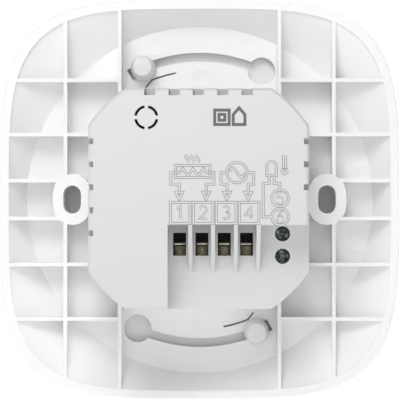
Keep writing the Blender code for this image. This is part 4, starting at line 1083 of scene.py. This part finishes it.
class THERMOSTAT_OT_front_shell(bpy.types.Operator):
    """Round back shell, ring, headed pegs and cover glass of the front unit"""

    bl_idname = "thermostat.front_shell"
    bl_label = "Front unit shell"

    def execute(self, context):
        soft_copy("front_base", "front_unit", "white_plastic", 0.12)
        soft_copy("front_ring", "front_unit", "white_plastic", 0.15)
        for i, node in enumerate(numbered("lock_peg", 2)):
            lo, hi, centre = low(node), high(node), middle(node)
            neck, head, flange, tip = 0.85 * MM, 2.95 * MM, 2.6 * MM, 2.2 * MM
            rest = FLOOR_Y + 0.3 * MM
            step = lo.y + 0.8 * MM
            profile = [(0.0, lo.y), (flange, lo.y), (flange, step), (neck, step), (neck, rest)]
            profile += [(head, rest), (head, rest + 1.2 * MM), (tip, hi.y), (0.0, hi.y)]
            profile = off_axis(rounded(profile, 0.35 * MM, 5))
            made = new_piece(f"headed_peg_{i + 1}", *revolved(profile, (centre.x, centre.z), 64))
            finish_piece(made, "front_unit", "white_plastic", node)
        lo, hi = low("touch_glass"), high("touch_glass")
        profile = [(0.0, lo.y), (hi.x, lo.y), (hi.x, hi.y), (0.0, hi.y)]
        profile = off_axis(rounded(profile, 0.3 * MM, 5))
        made = new_piece("cover_glass", *revolved(profile, steps=192))
        finish_piece(made, "front_unit", "front_glass", "touch_glass")
        return {"FINISHED"}


SEGMENTS = {
    "a": ((0.12, 1.0), (0.88, 1.0)), "b": ((0.94, 0.94), (0.94, 0.56)), "c": ((0.94, 0.44), (0.94, 0.06)),
    "d": ((0.12, 0.0), (0.88, 0.0)), "e": ((0.06, 0.44), (0.06, 0.06)), "f": ((0.06, 0.94), (0.06, 0.56)),
    "g": ((0.12, 0.5), (0.88, 0.5)),
}
LIT = {"0": "abcdef", "1": "bc", "2": "abged", "5": "afgcd"}


def display_strokes(text, left, base, height, slant=0.08):
    """Bars of seven-segment digits, in metres, as seen from the front with X to the right."""
    width = height * 0.5
    strokes = []
    for character in text:
        if character == ".":
            strokes.append([(left, base), (left + height * 0.001, base)])
            left += height * 0.16
            continue
        for key in LIT[character]:
            ends = []
            for u, v in SEGMENTS[key]:
                ends.append((left + u * width + v * height * slant, base + v * height))
            strokes.append(ends)
        left += width + height * 0.2
    return strokes


def lit_bar(ends, width, face):
    """A flat bar with pointed ends, just in front of a face that looks along -Y."""
    (x0, z0), (x1, z1) = ends
    along = np.array([x1 - x0, z1 - z0])
    length = np.linalg.norm(along)
    along = along / max(length, 1e-9)
    across = np.array([-along[1], along[0]]) * width / 2
    tip = along * width / 2
    a, b = np.array([x0, z0]), np.array([x1, z1])
    outline = np.stack([a - tip, a - across, b - across, b + tip, b + across, a + across])
    rings = [np.stack([outline[:, 0], np.full(6, y), outline[:, 1]], -1) for y in (face, face - 0.03 * MM)]
    return outward(*skin(np.stack(rings)))


def lit_line(path, width, face, closed=False):
    """A thin flat line along a path just in front of a face that looks along -Y."""
    points, faces = ribbon(np.array(path, float), width, 0.03 * MM, 0.0, closed, 0.005)
    points[:, 1] = face - points[:, 1]
    return outward(points, faces)


FLAME = (
    (0.0, 1.9), (0.9, 0.7), (1.15, -0.4), (0.7, -1.4), (0.0, -1.75), (-0.7, -1.4), (-1.15, -0.4), (-0.5, 0.5),
)
KEY_ROW = -20.0 * MM


class THERMOSTAT_OT_display(bpy.types.Operator):
    """Lit digits, a flame and the touch symbols on the cover glass"""

    bl_idname = "thermostat.display"
    bl_label = "Display"

    def execute(self, context):
        face = low("touch_glass").y + 0.004 * MM
        tall = context.scene.thermostat_front.digit_height
        large = display_strokes("21.5", -12.2 * MM, 2.6 * MM, tall)
        small = display_strokes("22.0", 12.6 * MM, 3.0 * MM, 3.6 * MM)
        bars = [lit_bar(ends, 1.25 * MM, face) for ends in large]
        degree = arc((12.6 * MM, 12.6 * MM), 0.95 * MM, 0, 360, 24)[:-1]
        bars.append(lit_line(degree, 0.4 * MM, face, True))
        bars += [lit_bar(ends, 0.5 * MM, face) for ends in small]
        flame = [(x * MM - 15.5 * MM, z * MM + 15.0 * MM) for x, z in FLAME]
        x, z = -18.0 * MM, KEY_ROW
        keys = [lit_line(arc((x, z), 1.7 * MM, 125, 415, 28), 0.3 * MM, face)]
        keys.append(lit_line([(x, z + 0.5 * MM), (x, z + 2.1 * MM)], 0.3 * MM, face))
        for x, way in ((-6.0 * MM, 1), (6.0 * MM, -1)):
            foot, crest = z - way * 0.7 * MM, z + way * 0.8 * MM
            chevron = [(x - 1.3 * MM, foot), (x, crest), (x + 1.3 * MM, foot)]
            keys.append(lit_line(chevron, 0.32 * MM, face))
        x = 18.0 * MM
        keys.append(lit_line(arc((x, z), 1.8 * MM, 0, 360, 32)[:-1], 0.3 * MM, face, True))
        keys.append(lit_line([(x, z + 1.1 * MM), (x, z), (x + 0.8 * MM, z - 0.5 * MM)], 0.28 * MM, face))
        for name, parts, material in (
            ("lit_digits", bars, "lit_white"),
            ("lit_flame", [lit_line(flame, 0.32 * MM, face, True)], "lit_amber"),
            ("touch_symbols", keys, "lit_white"),
        ):
            made = new_piece(name, *joined(parts), smooth=0)
            finish_piece(made, "front_unit", "screen", material=material)
        return {"FINISHED"}


class THERMOSTAT_OT_front_inside(bpy.types.Operator):
    """Boards, display, light guide and coiled touch springs inside the front unit"""

    bl_idname = "thermostat.front_inside"
    bl_label = "Parts in the front unit"

    def execute(self, context):
        turns = context.scene.thermostat_front.coil_turns
        for i, node in enumerate(numbered("touch_spring", 4)):
            lo, hi, centre = low(node), high(node), middle(node)
            wire = 0.2 * MM
            share = np.linspace(0, 1, 110)
            wide = (hi.x - lo.x) / 2 - wire
            angle = math.tau * turns * share
            y = lo.y + wire + (hi.y - lo.y - 2 * wire) * np.clip((share - 0.06) / 0.88, 0, 1)
            path = np.stack([centre.x + wide * np.cos(angle), y, centre.z + wide * np.sin(angle)], -1)
            made = new_piece(f"coiled_spring_{i + 1}", *swept_tube(path, wire), 60)
            finish_piece(made, "front_unit", "steel", node)
        soft_copy("display_panel", "front_unit", "screen", 0.1)
        soft_copy("light_guide", "front_unit", "diffuser", 0.2)
        soft_copy("control_board", "front_unit", "circuit_board", 0.05)
        soft_copy("controller_chip", "front_unit", "black_plastic", 0.1)
        soft_copy("clock_cell", "front_unit", "steel", 0.25, 3)
        soft_copy("air_sensor", "front_unit", "black_plastic", 0.5, 3)
        return {"FINISHED"}


# ---------------------------------------------------------------- stage


def softbox(name, place, target, size, power, colour):
    data = bpy.data.lights.new(name, "AREA")
    data.shape = "RECTANGLE"
    data.size, data.size_y = size
    data.energy = power
    data.color = colour
    lamp = bpy.data.objects.new(name, data)
    lamp.location = place
    lamp.rotation_euler = (Vector(target) - Vector(place)).to_track_quat("-Z", "Y").to_euler()
    bpy.context.scene.collection.objects.link(lamp)


class THERMOSTAT_OT_stage(bpy.types.Operator):
    """Pale floor and curved backdrop, soft lights and the camera"""

    bl_idname = "thermostat.stage"
    bl_label = "Stage"

    def execute(self, context):
        settings = context.scene.thermostat_stage
        floor_z = low("rear_housing").z - 0.2 * MM
        bend, reach, tall = 0.35, 0.9, 1.6
        angle = np.linspace(0, math.pi / 2, 24)
        line = [(1.6, floor_z)]
        line += [(-reach - bend * math.sin(a), floor_z + bend * (1 - math.cos(a))) for a in angle]
        line = np.array([*line, (-reach - bend, floor_z + tall)])
        across = np.linspace(-2.4, 2.4, 9)
        y, x = np.meshgrid(line[:, 0], across, indexing="ij")
        z = np.broadcast_to(line[:, 1:2], y.shape)
        faces = grid_faces(len(line), len(across), wrap_columns=False)
        stage = new_piece("studio_stage", np.stack([x, y, z], -1), faces, 60)
        stage.data.materials.append(stage_material())
        warm = (1.0, 1.0, 0.985)
        cool = (0.985, 0.985, 1.0)
        for row in (
            ("near_light", (0.05, 0.32, 0.22), (0.01, 0, 0.02), (0.2, 0.16), settings.near_power, warm),
            ("key_light", (0.12, 0.34, 0.38), (0.01, 0, 0.03), (0.32, 0.28), settings.key_power, warm),
            ("fill_light", (0.06, 1.2, 0.12), (0, 0, 0), (0.6, 0.5), settings.fill_power, cool),
            ("low_light", (0.1, 0.5, -0.35), (0, 0, 0), (0.5, 0.3), 0.12, (0.72, 0.62, 1.0)),
            ("front_light", (-0.3, -0.8, 0.7), (0, 0, 0), (0.6, 0.6), 3.0, (1.0, 1.0, 1.0)),
        ):
            softbox(*row)
        world = bpy.data.worlds.new("studio")
        world.use_nodes = True
        surround = world.node_tree.nodes["Background"].inputs
        surround[0].default_value = (0.95, 0.93, 1.0, 1.0)
        surround[1].default_value = settings.world_strength
        context.scene.world = world
        data = bpy.data.cameras.new("camera")
        data.sensor_width = 36.0
        data.lens = 36.0 * settings.distance / settings.field
        data.clip_start = 0.01
        camera = bpy.data.objects.new("camera", data)
        camera.location = (-3.9 * MM, settings.distance, -3.9 * MM)
        target = Vector((-0.12 * MM, 0.0, -0.12 * MM))
        camera.rotation_euler = (target - camera.location).to_track_quat("-Z", "Y").to_euler()
        context.scene.collection.objects.link(camera)
        context.scene.camera = camera
        context.scene.view_settings.view_transform = "Standard"
        return {"FINISHED"}


class THERMOSTAT_PT_pieces(bpy.types.Panel):
    """Lists the operators that build the thermostat's pieces"""

    bl_label = "Wall thermostat"
    bl_idname = "THERMOSTAT_PT_pieces"
    bl_space_type = "VIEW_3D"
    bl_region_type = "UI"
    bl_category = "Thermostat"

    def draw(self, context):
        scene = context.scene
        for group in SETTINGS:
            settings = getattr(scene, group)
            for key in settings.__annotations__:
                self.layout.prop(settings, key)
        for operator in OPERATORS:
            self.layout.operator(operator.bl_idname)


OPERATORS = (
    THERMOSTAT_OT_finishes,
    THERMOSTAT_OT_stage,
    THERMOSTAT_OT_housing,
    THERMOSTAT_OT_legends,
    THERMOSTAT_OT_ejector_marks,
    THERMOSTAT_OT_clamp_screws,
    THERMOSTAT_OT_sensor_screws,
    THERMOSTAT_OT_fixing_screws,
    THERMOSTAT_OT_inner_parts,
    THERMOSTAT_OT_contacts,
    THERMOSTAT_OT_front_shell,
    THERMOSTAT_OT_display,
    THERMOSTAT_OT_front_inside,
)
SETTINGS = {
    "thermostat_housing": HousingSettings,
    "thermostat_screws": ScrewSettings,
    "thermostat_front": FrontSettings,
    "thermostat_stage": StageSettings,
}


def register():
    for group in (*SETTINGS.values(), *OPERATORS, THERMOSTAT_PT_pieces):
        bpy.utils.register_class(group)
    for name, group in SETTINGS.items():
        setattr(bpy.types.Scene, name, bpy.props.PointerProperty(type=group))


def unregister():
    for name in SETTINGS:
        delattr(bpy.types.Scene, name)
    for group in (THERMOSTAT_PT_pieces, *OPERATORS[::-1], *SETTINGS.values()):
        bpy.utils.unregister_class(group)


def main():
    register()
    for operator in OPERATORS:
        family, name = operator.bl_idname.split(".")
        getattr(getattr(bpy.ops, family), name)()


if __name__ == "__main__":
    main()
